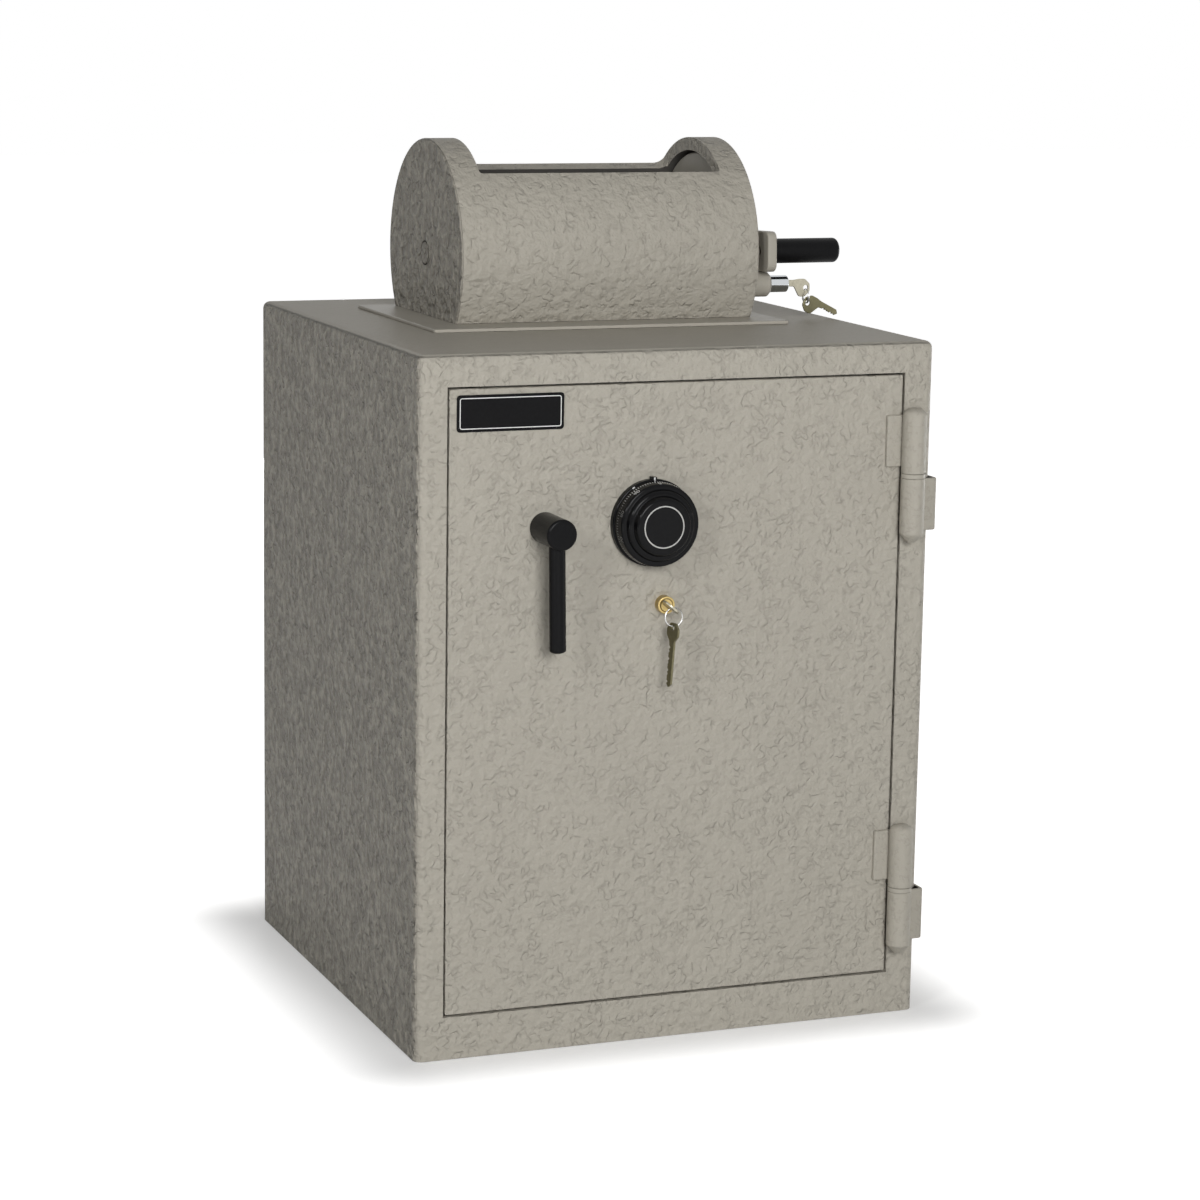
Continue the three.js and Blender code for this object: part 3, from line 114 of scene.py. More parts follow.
def mesh_of(name, parts):
    """One mesh from several (points in mm, faces), with doubles merged and faces turned outwards."""
    points, faces, start = [], [], 0
    for some_points, some_faces in parts:
        points.append(some_points)
        faces += [[corner + start for corner in face] for face in some_faces]
        start += len(some_points)
    mesh = bpy.data.meshes.new(name)
    mesh.from_pydata((np.vstack(points) * MM).tolist(), [], faces)
    work = bmesh.new()
    work.from_mesh(mesh)
    bmesh.ops.remove_doubles(work, verts=work.verts, dist=1e-6)
    bmesh.ops.recalc_face_normals(work, faces=work.faces)
    work.to_mesh(mesh)
    work.free()
    return mesh


print("faces of two rows of four points:", len(joined(np.zeros((2, 4, 3)))[1]))

# %% [markdown]
# A piece has a finish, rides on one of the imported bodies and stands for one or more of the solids. Its
# flat faces meet in crisp lines and its round ones run smoothly, which the angle between faces decides.
# A window or a socket is cut with an exact boolean, which is applied at once.

# %% Pieces
CREASE = 38


def piece(name, parts, finish, body, instead_of=(), cuts=(), edge=0.0):
    """A finished object at the origin. cuts are parts that are taken away, and edge is a bevel in mm."""
    made = bpy.data.objects.new(name, mesh_of(name, parts))
    bpy.context.scene.collection.objects.link(made)
    for cutter in cuts:
        take_away(made, cutter)
    made.data.shade_smooth()
    made.data.set_sharp_from_angle(angle=np.radians(CREASE))
    made.data.materials.clear()
    made.data.materials.append(finish)
    if edge:
        bevel = made.modifiers.new("worn edge", "BEVEL")
        bevel.width = edge * MM
        bevel.segments = 3
        bevel.limit_method = "ANGLE"
        bevel.angle_limit = np.radians(50)
        bevel.harden_normals = True
    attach(made, body)
    if instead_of:
        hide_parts(*instead_of)
    size = " x ".join(f"{length:.0f}" for length in np.ptp(np.array(made.bound_box), axis=0) / MM)
    print(f"{name}: {len(made.data.polygons)} faces, {size} mm, on {body}")
    return made


def take_away(made, cutter_parts):
    """Cuts a solid out of a piece and keeps the result as the piece's own mesh."""
    cutter = bpy.data.objects.new("cutter", mesh_of("cutter", cutter_parts))
    bpy.context.scene.collection.objects.link(cutter)
    cut = made.modifiers.new("cut", "BOOLEAN")
    cut.operation = "DIFFERENCE"
    cut.solver = "EXACT"
    cut.object = cutter
    ready = made.evaluated_get(bpy.context.evaluated_depsgraph_get())
    made.data = bpy.data.meshes.new_from_object(ready)
    made.modifiers.clear()
    bpy.data.objects.remove(cutter)


print("faces that meet at more than", CREASE, "degrees meet in a crisp line")

# %% [markdown]
# Outlines are drawn as a few corners, and each corner is then rounded by an arc that touches both of its
# sides. A point is kept a little way along each side, so that a flat face keeps flat shading right up
# to its rounded edge.

# %% Outlines with round corners
HOLD = 0.25


def rounded(corners, radii, steps=6, ring=False):
    """A line through corners, each replaced by an arc of its radius: the arc's centre lies on the corner's
    bisector, and its points are weighted sums of the directions to its two ends."""
    corners = np.asarray(corners, float)
    radii = np.broadcast_to(np.asarray(radii, float), len(corners))
    line = []
    for place, (corner, radius) in enumerate(zip(corners, radii)):
        if radius == 0 or (not ring and place in (0, len(corners) - 1)):
            line.append(corner[None])
            continue
        back = corners[place - 1] - corner
        ahead = corners[(place + 1) % len(corners)] - corner
        back = back / np.linalg.norm(back)
        ahead = ahead / np.linalg.norm(ahead)
        half = 0.5 * np.arccos(np.clip(back @ ahead, -1, 1))
        middle = corner + (back + ahead) / np.linalg.norm(back + ahead) * radius / np.sin(half)
        start = corner + back * radius / np.tan(half)
        end = corner + ahead * radius / np.tan(half)
        turn = np.pi - 2 * half
        t = np.linspace(0, 1, steps + 1)[:, None]
        arc = np.sin((1 - t) * turn) * (start - middle) + np.sin(t * turn) * (end - middle)
        arc = middle + arc / np.sin(turn)
        line.append(np.vstack([start + back * HOLD, arc, end + ahead * HOLD]))
    return np.vstack(line)


def oblong(u0, u1, v0, v1, radius, steps=6):
    """A rectangle with round corners, anticlockwise."""
    return rounded([[u0, v0], [u1, v0], [u1, v1], [u0, v1]], radius, steps, ring=True)


print("points of a rounded rectangle:", len(oblong(0, 40, 0, 20, 5)))

# %% [markdown]
# Hubs, knuckles, the dial, axles and the hopper's pipe come off a lathe or are rolled. So they are surfaces
# of revolution: a line of radii and distances, turned about an axis. A closed line gives a tube or a ring.

# %% Turned pieces
AXES = {
    "x": np.array([[0, 1, 0], [0, 0, 1], [1, 0, 0]]),
    "y": np.array([[0, 0, 1], [1, 0, 0], [0, 1, 0]]),
    "z": np.array([[1, 0, 0], [0, 1, 0], [0, 0, 1]]),
}


def turned(profile, axis, at, steps=96, ring=False, first=0.0, last=360.0):
    """A surface of revolution. A profile point (radius, distance) at the angle t lies at
    radius * (cos t * across + sin t * up) + distance * along, from the place at. ring closes the profile
    on itself."""
    profile = np.asarray(profile, float)
    whole = last - first >= 360
    t = np.radians(np.linspace(first, last, steps, endpoint=not whole))
    across, above, along = AXES[axis]
    radius = profile[:, :1] * np.ones_like(t)
    rows = (radius[..., None] * (np.cos(t)[:, None] * across + np.sin(t)[:, None] * above)
            + profile[:, None, 1:] * along + np.asarray(at, float))
    if ring and not whole:
        return joined(rows.swapaxes(0, 1))
    return joined(rows, around=whole, along=ring)


def rod(axis, radius, start, end, at, edge=0.5, steps=64):
    """A round bar with both ends chamfered to a small radius."""
    profile = rounded([[0, start], [radius, start], [radius, end], [0, end]], edge, 4)
    return turned(profile, axis, at, steps)


def ring_of(axis, radius, bore, start, end, at, edge=0.4, steps=96):
    """A bush or washer: a small rectangle with round corners, turned about an axis."""
    section = rounded([[bore, start], [radius, start], [radius, end], [bore, end]], edge, 4, ring=True)
    return turned(section, axis, at, steps, ring=True)


print("faces of a round bar:", len(rod("z", 5, 0, 10, [0, 0, 0])[1]))

# %% [markdown]
# Doors, leaves, labels and key blanks are cut from sheet, and a rim is never quite sharp. A plate is its
# outline repeated at each step across the rounded rim.

# %% Plates
FACES = {
    "front": lambda u, v, w: np.stack([u, w, v], axis=-1),
    "side": lambda u, v, w: np.stack([w, u, v], axis=-1),
    "top": lambda u, v, w: np.stack([u, v, w], axis=-1),
}


def plate(outline, low, high, face, edge=0.8, low_edge=None, steps=4):
    """A flat plate. Its outline is drawn in by edge * (1 - sin a) while it sinks by edge * (1 - cos a),
    which rounds the rim, once for each face. face says which way the plate lies."""
    outline = np.asarray(outline, float)
    step = np.roll(outline, -1, axis=0) - np.roll(outline, 1, axis=0)
    outward = np.stack([step[:, 1], -step[:, 0]], axis=1) / np.linalg.norm(step, axis=1)[:, None]
    low_edge = edge if low_edge is None else low_edge
    a = np.linspace(0, np.pi / 2, steps + 1)
    inset = np.concatenate([[low_edge + HOLD], low_edge * (1 - np.sin(a)),
                            edge * (1 - np.sin(a[::-1])), [edge + HOLD]])
    depth = np.concatenate([[low], low + low_edge * (1 - np.cos(a)),
                            high - edge * (1 - np.cos(a[::-1])), [high]])
    flat = outline[None] - inset[:, None, None] * outward[None]
    level = np.broadcast_to(depth[:, None], flat.shape[:2])
    return joined(FACES[face](flat[..., 0], flat[..., 1], level))


def slab(x0, x1, y0, y1, z0, z1, edge=0.6):
    """A rectangular bar with softened edges, lying as a plate seen from above."""
    return plate(oblong(x0, x1, y0, y1, max(edge, 0.3), 3), z0, z1, "top", edge, steps=3)


def tube_along(path, radius, sides):
    """A round wire: a circle carried along a path. Its sides lie along a fixed direction crossed with the
    path's direction at each point, and along the cross product of the two."""
    path = np.asarray(path, float)
    ahead = np.gradient(path, axis=0)
    ahead = ahead / np.linalg.norm(ahead, axis=1)[:, None]
    spread = np.ptp(path, axis=0)
    fixed = np.eye(3)[np.argmin(spread)]
    side = np.cross(ahead, fixed)
    side = side / np.linalg.norm(side, axis=1)[:, None]
    other = np.cross(ahead, side)
    t = np.linspace(0, 2 * np.pi, sides, endpoint=False)
    cos_t, sin_t = np.cos(t)[None, :, None], np.sin(t)[None, :, None]
    return joined(path[:, None] + radius * (cos_t * side[:, None] + sin_t * other[:, None]))


def span(node):
    """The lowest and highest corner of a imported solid, in mm."""
    low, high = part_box(node)
    return np.array(low) / MM, np.array(high) / MM


def axis_of(node, axis):
    """The axis of a round solid as the middle of its corners, with 0 for the direction it runs in."""
    middle = sum(span(node)) / 2
    middle["xyz".index(axis)] = 0
    return middle


print("faces of a bar with softened edges:", len(slab(0, 40, 0, 20, 0, 5)[1]))

# %% [markdown]
# ## Paint
#
# The safe is sprayed with a thick warm grey enamel that wrinkles as it dries, like leather. Up close it
# is a soft swell of about 8 mm with short shallow creases in it. The walls got the thickest coat, the
# front less, and the roof hardly any, so the height of the relief depends on the place. A crease lies
# where one noise crosses its middle value, and a second noise breaks it into short lengths.

# %% Node helpers
class Recipe:
    """A short way to write a node tree: each call adds a node and joins what it is given."""

    def __init__(self, name):
        self.material = bpy.data.materials.new(name)
        self.material.use_nodes = True
        self.tree = self.material.node_tree
        self.shader = self.tree.nodes["Principled BSDF"]
        self.place = self.add("ShaderNodeTexCoord").outputs["Object"]

    def add(self, kind, settings=None, **inputs):
        node = self.tree.nodes.new(kind)
        for key, value in (settings or {}).items():
            setattr(node, key, value)
        for key, value in inputs.items():
            self.join(value, node.inputs[key.replace("_", " ")])
        return node

    def join(self, value, socket):
        if isinstance(value, bpy.types.NodeSocket):
            self.tree.links.new(value, socket)
        else:
            socket.default_value = value

    def math(self, operation, a, b=0.0, c=0.0, clamp=False):
        node = self.tree.nodes.new("ShaderNodeMath")
        node.operation = operation
        node.use_clamp = clamp
        for socket, value in zip(node.inputs, (a, b, c)):
            self.join(value, socket)
        return node.outputs[0]

    def stretched(self, scale, place=None):
        node = self.add("ShaderNodeMapping", Scale=scale, Vector=place or self.place)
        return node.outputs[0]

    def noise(self, scale, detail=2.0, roughness=0.5, place=None):
        return self.add("ShaderNodeTexNoise", Scale=scale, Detail=detail, Roughness=roughness,
                        Vector=place or self.place).outputs["Fac"]

    def pushed(self, scale, amount, place=None):
        """Coordinates moved about by coloured noise."""
        place = place or self.place
        colour = self.add("ShaderNodeTexNoise", Scale=scale, Detail=2.0, Vector=place).outputs["Color"]
        centred = self.add("ShaderNodeVectorMath", {"operation": "SUBTRACT"})
        self.join(colour, centred.inputs[0])
        centred.inputs[1].default_value = (0.5, 0.5, 0.5)
        scaled = self.add("ShaderNodeVectorMath", {"operation": "SCALE"}, Scale=amount)
        self.join(centred.outputs[0], scaled.inputs[0])
        total = self.add("ShaderNodeVectorMath", {"operation": "ADD"})
        self.join(place, total.inputs[0])
        self.join(scaled.outputs[0], total.inputs[1])
        return total.outputs[0]

    def past(self, axis, limit, way, run=0.0015):
        """0 up to a limit along an axis, 1 a short run beyond it; way is 1 or -1."""
        parts = self.add("ShaderNodeSeparateXYZ", Vector=self.place).outputs
        ahead = self.math("MULTIPLY", self.math("SUBTRACT", parts["XYZ".index(axis)], limit), way / run)
        return self.math("MAXIMUM", 0.0, self.math("MINIMUM", 1.0, ahead))

    def blend(self, share, first, second):
        node = self.add("ShaderNodeMix", {"data_type": "RGBA"})
        self.join(share, node.inputs["Factor"])
        self.join(first, node.inputs[6])
        self.join(second, node.inputs[7])
        return node.outputs[2]

    def bump(self, height, distance, strength=1.0):
        node = self.add("ShaderNodeBump", Height=height, Distance=distance, Strength=strength)
        self.join(node.outputs[0], self.shader.inputs["Normal"])

    def set(self, **inputs):
        for key, value in inputs.items():
            self.join(value, self.shader.inputs[key.replace("_", " ")])
        return self.material


def shade(colour, share):
    return tuple(channel * share for channel in colour) + (1.0,)


print("half of a grey:", shade((0.4, 0.4, 0.4), 0.5))

# %% [markdown]
# The swell, the creases and a fine orange peel make one height. The creases are painted darker as painted
# shade, and on the walls the hollows of the swell are painted shade and its crests a painted highlight.

# %% Wrinkle paint
def wrinkle_paint(name, colour, wall_x=-9.0, roof_z=9.0, cell=8.0, depth=3.3, gloss=0.5):
    """cell is the size of a wrinkle in mm and depth its height in mm. The height is a swell less the
    creases plus a fine orange peel, times a strength: 1 on the front, more left of wall_x, less above
    roof_z (both in metres)."""
    make = Recipe(name)
    per_metre = 1000 / cell
    place = make.pushed(per_metre * 0.5, 0.5 * cell * MM)
    swell = make.noise(per_metre * 0.9, 2.0, 0.5, place)
    line = make.math("ABSOLUTE", make.math("SUBTRACT", make.noise(per_metre * 0.8, 1.5, 0.5, place), 0.5))
    crease = make.math("SUBTRACT", 1.0, make.math("MULTIPLY", line, 13.0, clamp=True), clamp=True)
    patches = make.noise(per_metre * 0.75, 1.0)
    gate = make.math("MULTIPLY", make.math("SUBTRACT", patches, 0.44), 7.0, clamp=True)
    short = make.math("MULTIPLY", crease, gate)
    peel = make.noise(per_metre * 3.0, 2.0)
    peeled = make.math("MULTIPLY_ADD", peel, 0.16, swell)
    height = make.math("SUBTRACT", peeled, make.math("MULTIPLY", short, 0.2))
    on_wall = make.past("X", wall_x, -1)
    on_roof = make.past("Z", roof_z, 1)
    thick = make.math("MULTIPLY_ADD", on_wall, 1.9, 1.0)
    strength = make.math("SUBTRACT", thick, make.math("MULTIPLY", on_roof, 0.8))
    make.bump(make.math("MULTIPLY", height, strength), depth * MM)
    cloud = make.blend(make.noise(11.0, 3.0), shade(colour, 0.955), shade(colour, 1.045))
    # Painted shade: the creases are painted darker, more so where the relief is stronger.
    crease_shade = make.math("MULTIPLY", make.math("MULTIPLY", short, 0.3), strength, clamp=True)
    crease_shaded = make.blend(crease_shade, cloud, shade(colour, 0.64))
    # Painted shade and painted highlight on the walls left of wall_x: the hollows of the swell are painted
    # darker and its crests lighter.
    hollow_shade = make.math("MULTIPLY", make.math("MULTIPLY_ADD", swell, -3.0, 2.0, clamp=True), on_wall)
    crest_highlight = make.math("MULTIPLY", make.math("MULTIPLY_ADD", swell, 4.0, -2.1, clamp=True), on_wall)
    hollow_shaded = make.blend(make.math("MULTIPLY", hollow_shade, 0.72), crease_shaded, shade(colour, 0.55))
    relief_shade_and_highlight = make.blend(make.math("MULTIPLY", crest_highlight, 0.6), hollow_shaded, shade(colour, 1.3))
    rough = make.math("MULTIPLY_ADD", peel, 0.14, gloss - 0.07)
    print(f"{name}: wrinkles of {cell} mm, {depth} mm high")
    return make.set(Base_Color=relief_shade_and_highlight, Roughness=rough, Specular_IOR_Level=0.12)


def smooth_paint(name, colour, peel_size=2.6, depth=0.05, gloss=0.4):
    """A thinner coat: only orange peel and some slow unevenness."""
    make = Recipe(name)
    peel = make.noise(1000 / peel_size, 2.0)
    slow = make.noise(55.0, 2.0)
    make.bump(make.math("MULTIPLY_ADD", slow, 3.0, peel), depth * MM)
    base = make.blend(make.noise(16.0, 3.0), shade(colour, 0.95), shade(colour, 1.05))
    rough = make.math("MULTIPLY_ADD", slow, 0.12, gloss - 0.06)
    print(f"{name}: orange peel of {peel_size} mm")
    return make.set(Base_Color=base, Roughness=rough, Specular_IOR_Level=0.15)


WARM_GREY = (0.397, 0.373, 0.322)
body_paint = wrinkle_paint("wrinkled enamel", WARM_GREY, wall_x=-0.2495, roof_z=0.6425)
hopper_paint = wrinkle_paint("hopper enamel", WARM_GREY, wall_x=-0.1435)
hinge_paint = wrinkle_paint("hinge enamel", WARM_GREY, cell=4.5, depth=1.0)
part_paint = smooth_paint("thin enamel", (0.39, 0.367, 0.317))
primer = smooth_paint("dark primer", (0.135, 0.128, 0.118), 1.8, 0.05, 0.62)

# %% [markdown]
# ## Black parts, metal and plastic
#
# The handle and the dial are stove enamelled, nearly mirror black. Steel inside is machined or sawn, so
# its scratches run one way and its roughness varies. Brass and nickel have darkened where hands touch.

# %% Black enamel and plastic
def black_enamel(name, gloss, grain=0.004, mirror=0.085):
    make = Recipe(name)
    dust = make.noise(420.0, 3.0)
    make.bump(make.noise(300.0, 2.0), grain * MM)
    base = make.blend(dust, (0.0025, 0.0025, 0.003, 1), (0.006, 0.006, 0.0065, 1))
    rough = make.math("MULTIPLY_ADD", make.noise(38.0, 2.0), 0.1, gloss - 0.05)
    print(f"{name}: roughness {gloss}")
    return make.set(Base_Color=base, Roughness=rough, Specular_IOR_Level=mirror)


dial_black = black_enamel("glossy dial black", 0.08, mirror=0.1)
handle_black = black_enamel("handle black", 0.22, 0.01)
plate_black = black_enamel("plate black", 0.3)
grip_black = black_enamel("moulded grip black", 0.42, 0.03)


def print_white(name, colour):
    """Printed enamel, slightly thin in places."""
    make = Recipe(name)
    base = make.blend(make.noise(900.0, 2.0), shade(colour, 0.86), shade(colour, 1.0))
    return make.set(Base_Color=base, Roughness=0.45)


def print_dark_below(name, colour, top):
    """Print that turns nearly black below a height in metres."""
    make = Recipe(name)
    kept = make.math("MULTIPLY_ADD", make.past("Z", top, 1, 0.014), 0.85, 0.12)
    patchy = make.math("MULTIPLY_ADD", make.noise(300.0, 2.0), 0.6, 0.6)
    base = make.blend(make.math("MULTIPLY", kept, patchy), (0.01, 0.01, 0.01, 1), shade(colour, 1.0))
    return make.set(Base_Color=base, Roughness=0.45)


mark_white = print_white("printed white", (0.8, 0.8, 0.79))
white_print_dark_below = print_dark_below("white print dark below", (0.8, 0.8, 0.79), 0.505)
ring_grey = print_white("printed pale grey", (0.5, 0.5, 0.48))


# %% [markdown]
# Bare metal differs from piece to piece only in its colour, how fine and which way its scratches run, and
# how much it has stained. So one function makes them all.

# %% Metals
def metal(name, colour, gloss, scratch=(1.0, 1.0, 1.0), depth=0.004, stain=0.25, stain_scale=90.0):
    """Bare metal. scratch stretches fine noise into lines, and stain darkens it in patches."""
    make = Recipe(name)
    lines = make.noise(1600.0, 3.0, 0.6, make.stretched(scratch))
    make.bump(lines, depth * MM)
    patch = make.math("MULTIPLY", make.noise(stain_scale, 4.0, 0.6), stain)
    base = make.blend(patch, shade(colour, 1.0), shade(colour, 0.35))
    rough = make.math("MULTIPLY_ADD", lines, 0.16, gloss - 0.06)
    print(f"{name}: roughness {gloss}")
    return make.set(Base_Color=base, Metallic=1.0, Roughness=rough)


sawn_steel = metal("sawn steel", (0.42, 0.42, 0.41), 0.38, (1.0, 1.0, 0.05), 0.01)
bright_steel = metal("turned steel", (0.62, 0.62, 0.61), 0.24, (1.0, 0.06, 0.06))
chrome = metal("chromium plate", (0.62, 0.64, 0.66), 0.1, stain=0.12)
worn_nickel = metal("worn nickel", (0.50, 0.47, 0.37), 0.3, stain=0.55, stain_scale=260.0)
dark_nickel = metal("tarnished nickel", (0.19, 0.175, 0.105), 0.36, stain=0.6, stain_scale=240.0)
worn_brass = metal("worn brass", (0.62, 0.47, 0.2), 0.28, stain=0.6, stain_scale=220.0)

# %% [markdown]
# ## Cabinet
#
# The body is folded from plate, so its upright corners have a radius of 8 mm and its roof edges 7 mm.
# Its rows run up the walls and over the roof edge. The doorway, the cavity and the throat under the drum
# are cut out, and the doorway's edge is worn round.

# %% Cabinet body
shell_low, shell_high = span("cabinet_shell")
door_low, door_high = span("door_plate")
wall = 6.0
gap = 2.0
roof_edge = 7.0
front_y = door_low[1]
frame_back = door_high[1]


def cabinet_rows():
    """A rounded rectangle at each height. Over the roof edge it shrinks by r * (1 - cos a) while it climbs
    by r * sin a."""
    outline = oblong(shell_low[0], shell_high[0], shell_low[1], shell_high[1], 8.0, 8)
    return plate(outline, shell_low[2], shell_high[2], "top", roof_edge, low_edge=0.4, steps=8)


def brick(x0, x1, y0, y1, z0, z1):
    """A plain cutter: four corners at two heights."""
    ring = np.array([[x0, y0], [x1, y0], [x1, y1], [x0, y1]], float)
    rows = np.stack([np.column_stack([ring, np.full(4, z)]) for z in (z0, z1)])
    return joined(rows)


half_width = shell_high[0]
base_low, base_high = span("hopper_base_plate")
throat = (-132.0, 147.0, 53 - 76.35, 53 + 76.35)
doorway = brick(door_low[0] - gap, door_high[0] + gap, front_y - 20, frame_back + 4,
                door_low[2] - gap, door_high[2] + gap)
cavity = brick(-half_width + wall, half_width - wall, frame_back, shell_high[1] + 20,
               wall, shell_high[2] - wall)
throat_cut = brick(*throat, shell_high[2] - 12, shell_high[2] + 12)
piece("cabinet_body", [cabinet_rows()], body_paint, "cabinet", ["cabinet_shell"],
      cuts=[[doorway], [cavity], [throat_cut]], edge=0.9)

# %% [markdown]
# The back is a plate let into the body, and two strips behind the frame stop the door.

# %% Back and stops
low, high = span("back_panel")
piece("back_plate", [plate(oblong(low[0], high[0], low[2], high[2], 4.0), low[1], high[1], "front", 0.8)],
      body_paint, "cabinet", ["back_panel"])
for node in ("door_stop_top", "door_stop_bottom"):
    low, high = span(node)
    strip = slab(*np.column_stack([low, high]).ravel())
    piece(node.replace("door_stop", "stop_strip"), [strip], primer, "cabinet", [node])

# %% [markdown]
# ## Door
#
# One 10 mm plate, flush with the frame, with a gap of 2 mm all round. Its front edge is rounded by
# sanding before the paint goes on, which is what catches the light along the gap.

# %% Door plate
door_outline = oblong(door_low[0], door_high[0], door_low[2], door_high[2], 1.6, 4)
piece("door_panel", [plate(door_outline, door_low[1], door_high[1], "front", 0.6, low_edge=1.3)],
      body_paint, "door", ["door_plate"])

# %% [markdown]
# What sits behind the door is plain cut and folded steel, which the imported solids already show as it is.
# They are kept and only get their finish: dark primer, sawn steel, or brass for the lock's bolt.

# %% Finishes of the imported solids
def refinish(node, finish):
    """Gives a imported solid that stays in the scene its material."""
    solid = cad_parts[node]
    solid.data.materials.clear()
    solid.data.materials.append(finish)
    print(f"{node}: {finish.name}")


for node, finish in (("bolt_guide", primer), ("boltwork_cover", primer), ("dead_bar", primer),
                     ("bar_strap_upper", sawn_steel), ("bar_strap_lower", sawn_steel),
                     ("bolt_bar", sawn_steel), ("lock_case", sawn_steel), ("lock_bolt", worn_brass),
                     ("deposit_baffle", primer)):
    refinish(node, finish)

# %% [markdown]
# ## Hinges
#
# Each hinge is two knuckles with a washer between them, and a leaf welded to each. The upper knuckle has
# a domed end and goes with the door; the lower one ends in a blunt cone and stays on the frame.

# %% Hinges
KNUCKLE = 11.3
DOME = 7.0
LEAF = 5.0
OFF = 0.3
WRAP = 34
for place in ("upper", "lower"):
    low, high = span(f"hinge_{place}_door_leaf")
    body_low, body_high = span(f"hinge_{place}_body_leaf")
    pin_low, pin_high = span(f"hinge_{place}_pin")
    line = axis_of(f"hinge_{place}_pin", "z")
    dome = np.radians(np.linspace(0, 90, 10))
    dome_rows = np.column_stack([KNUCKLE * np.cos(dome), high[2] - DOME * (1 - np.sin(dome))])
    foot = rounded([[0, low[2]], [KNUCKLE, low[2]], [KNUCKLE, low[2] + 6]], 0.9, 4)
    knuckle = turned(np.vstack([foot, dome_rows]), "z", line)
    leaf_back = front_y - OFF
    leaf_top = high[2] - 7.5
    leaf_outline = oblong(low[0], line[0], leaf_top - 48.3, leaf_top, 1.6, 4)
    leaf = plate(leaf_outline, leaf_back - 4, leaf_back, "front", 0.2, low_edge=1.6)
    piece(f"{place}_door_hinge", [knuckle, leaf], hinge_paint, "door", [f"hinge_{place}_door_leaf"])

    tip = body_low[2]
    top = body_high[2]
    stem = rounded([[0, tip], [3.2, tip], [KNUCKLE - 0.6, tip + 8], [KNUCKLE, tip + 9.2],
                    [KNUCKLE, top], [0, top]], [0, 1.2, 2, 1, 0.9, 0], 5)
    inner = half_width + OFF
    outer = inner + LEAF
    face_y = leaf_back - LEAF
    wrap_y = front_y + WRAP
    corners = [[line[0], leaf_back], [line[0], face_y], [outer, face_y], [outer, wrap_y - 3],
               [outer - 3, wrap_y], [inner, wrap_y], [inner, leaf_back]]
    wrap = rounded(corners, [0.3, 0.3, 5, 1.5, 1.5, 0.4, 0.4], 6, ring=True)
    body_leaf = plate(wrap, tip + 10, top - 2, "top", 1.2)
    piece(f"{place}_frame_hinge", [turned(stem, "z", line), body_leaf], hinge_paint, "cabinet",
          [f"hinge_{place}_body_leaf"])
    low, high = span(f"hinge_{place}_washer")
    piece(f"{place}_hinge_washer", [ring_of("z", KNUCKLE, 5.3, low[2], high[2], line)], part_paint, "cabinet",
          [f"hinge_{place}_washer"])
    piece(f"{place}_hinge_pin", [rod("z", 5, pin_low[2], pin_high[2], line, 1.0)], bright_steel, "cabinet",
          [f"hinge_{place}_pin"])

# %% [markdown]
# ## Name plate
#
# A thin black plate. What it says is left off, and only its pale border line is kept: a narrow strip
# between two rounded outlines, a twentieth of a millimetre proud.

# %% Name plate
low, high = span("name_plate")
blank = plate(oblong(low[0], high[0], low[2], high[2], 3.0), low[1], high[1], "front", 0.1, low_edge=0.35)
piece("black_name_plate", [blank], plate_black, "door", ["name_plate"])


def border(u0, u1, v0, v1, radius, width, w0, w1, face):
    """A closed strip between an outline and the same outline drawn in by width, w0 to w1 deep."""
    outer = oblong(u0, u1, v0, v1, radius)
    inner = oblong(u0 + width, u1 - width, v0 + width, v1 - width, radius - width)
    lines = np.stack([outer, inner, inner, outer])
    level = np.broadcast_to(np.array([w0, w0, w1, w1])[:, None], lines.shape[:2])
    return joined(FACES[face](lines[..., 0], lines[..., 1], level), along=True)


inset = 2.6
piece("name_plate_line", [border(low[0] + inset, high[0] - inset, low[2] + inset, high[2] - inset, 2.2, 0.75,
                                 low[1] - 0.06, low[1] + 0.2, "front")], mark_white, "door")

# %% [markdown]
# ## Handle
#
# A turned hub stands out from the door, and a straight rod with a round end hangs from it.

# %% Handle
low, high = span("handle_hub")
hub_axis = axis_of("handle_hub", "y")
hub_radius = (high[0] - low[0]) / 2
profile = rounded([[0, low[1]], [hub_radius, low[1]], [hub_radius, high[1]], [0, high[1]]],
                  [0, 2.4, 0.4, 0], 8)
piece("handle_boss", [turned(profile, "y", hub_axis)], handle_black, "handle", ["handle_hub"])
LEAN = np.radians(1.2)
ROD = 7.5
REACH = 109.0


def leaning(part):
    """Points turned about the hub's axis, so that the foot of the rod moves to the right."""
    points, faces = part
    x, z = points[:, 0] - hub_axis[0], points[:, 2] - hub_axis[2]
    return np.column_stack([hub_axis[0] + x * np.cos(LEAN) - z * np.sin(LEAN), points[:, 1],
                            hub_axis[2] + x * np.sin(LEAN) + z * np.cos(LEAN)]), faces


foot = hub_axis[2] - REACH
rod_end = np.radians(np.linspace(0, 90, 8))
tail = np.column_stack([ROD * np.sin(rod_end), foot + 3 * (1 - np.cos(rod_end))])
body = [[ROD, foot + 3.3], [ROD, hub_axis[2] - 9], [ROD, hub_axis[2] + 2], [0, hub_axis[2] + 2]]
rod_axis = [hub_axis[0], axis_of("handle_rod", "z")[1], 0]
piece("handle_lever", [leaning(turned(np.vstack([tail, body]), "z", rod_axis, 72))], handle_black, "handle",
      ["handle_rod"])

# %% [markdown]
# ## Combination dial
#
# A fixed ring with an opening mark on a small tab sits on the door. In front of it turns a wide, low
# knob, turned from one piece: a wall with a hundred graduations and the tens, a step, and a plain face
# with one pale ring. The marks sit on the wall, so only those at the upper left are seen well.

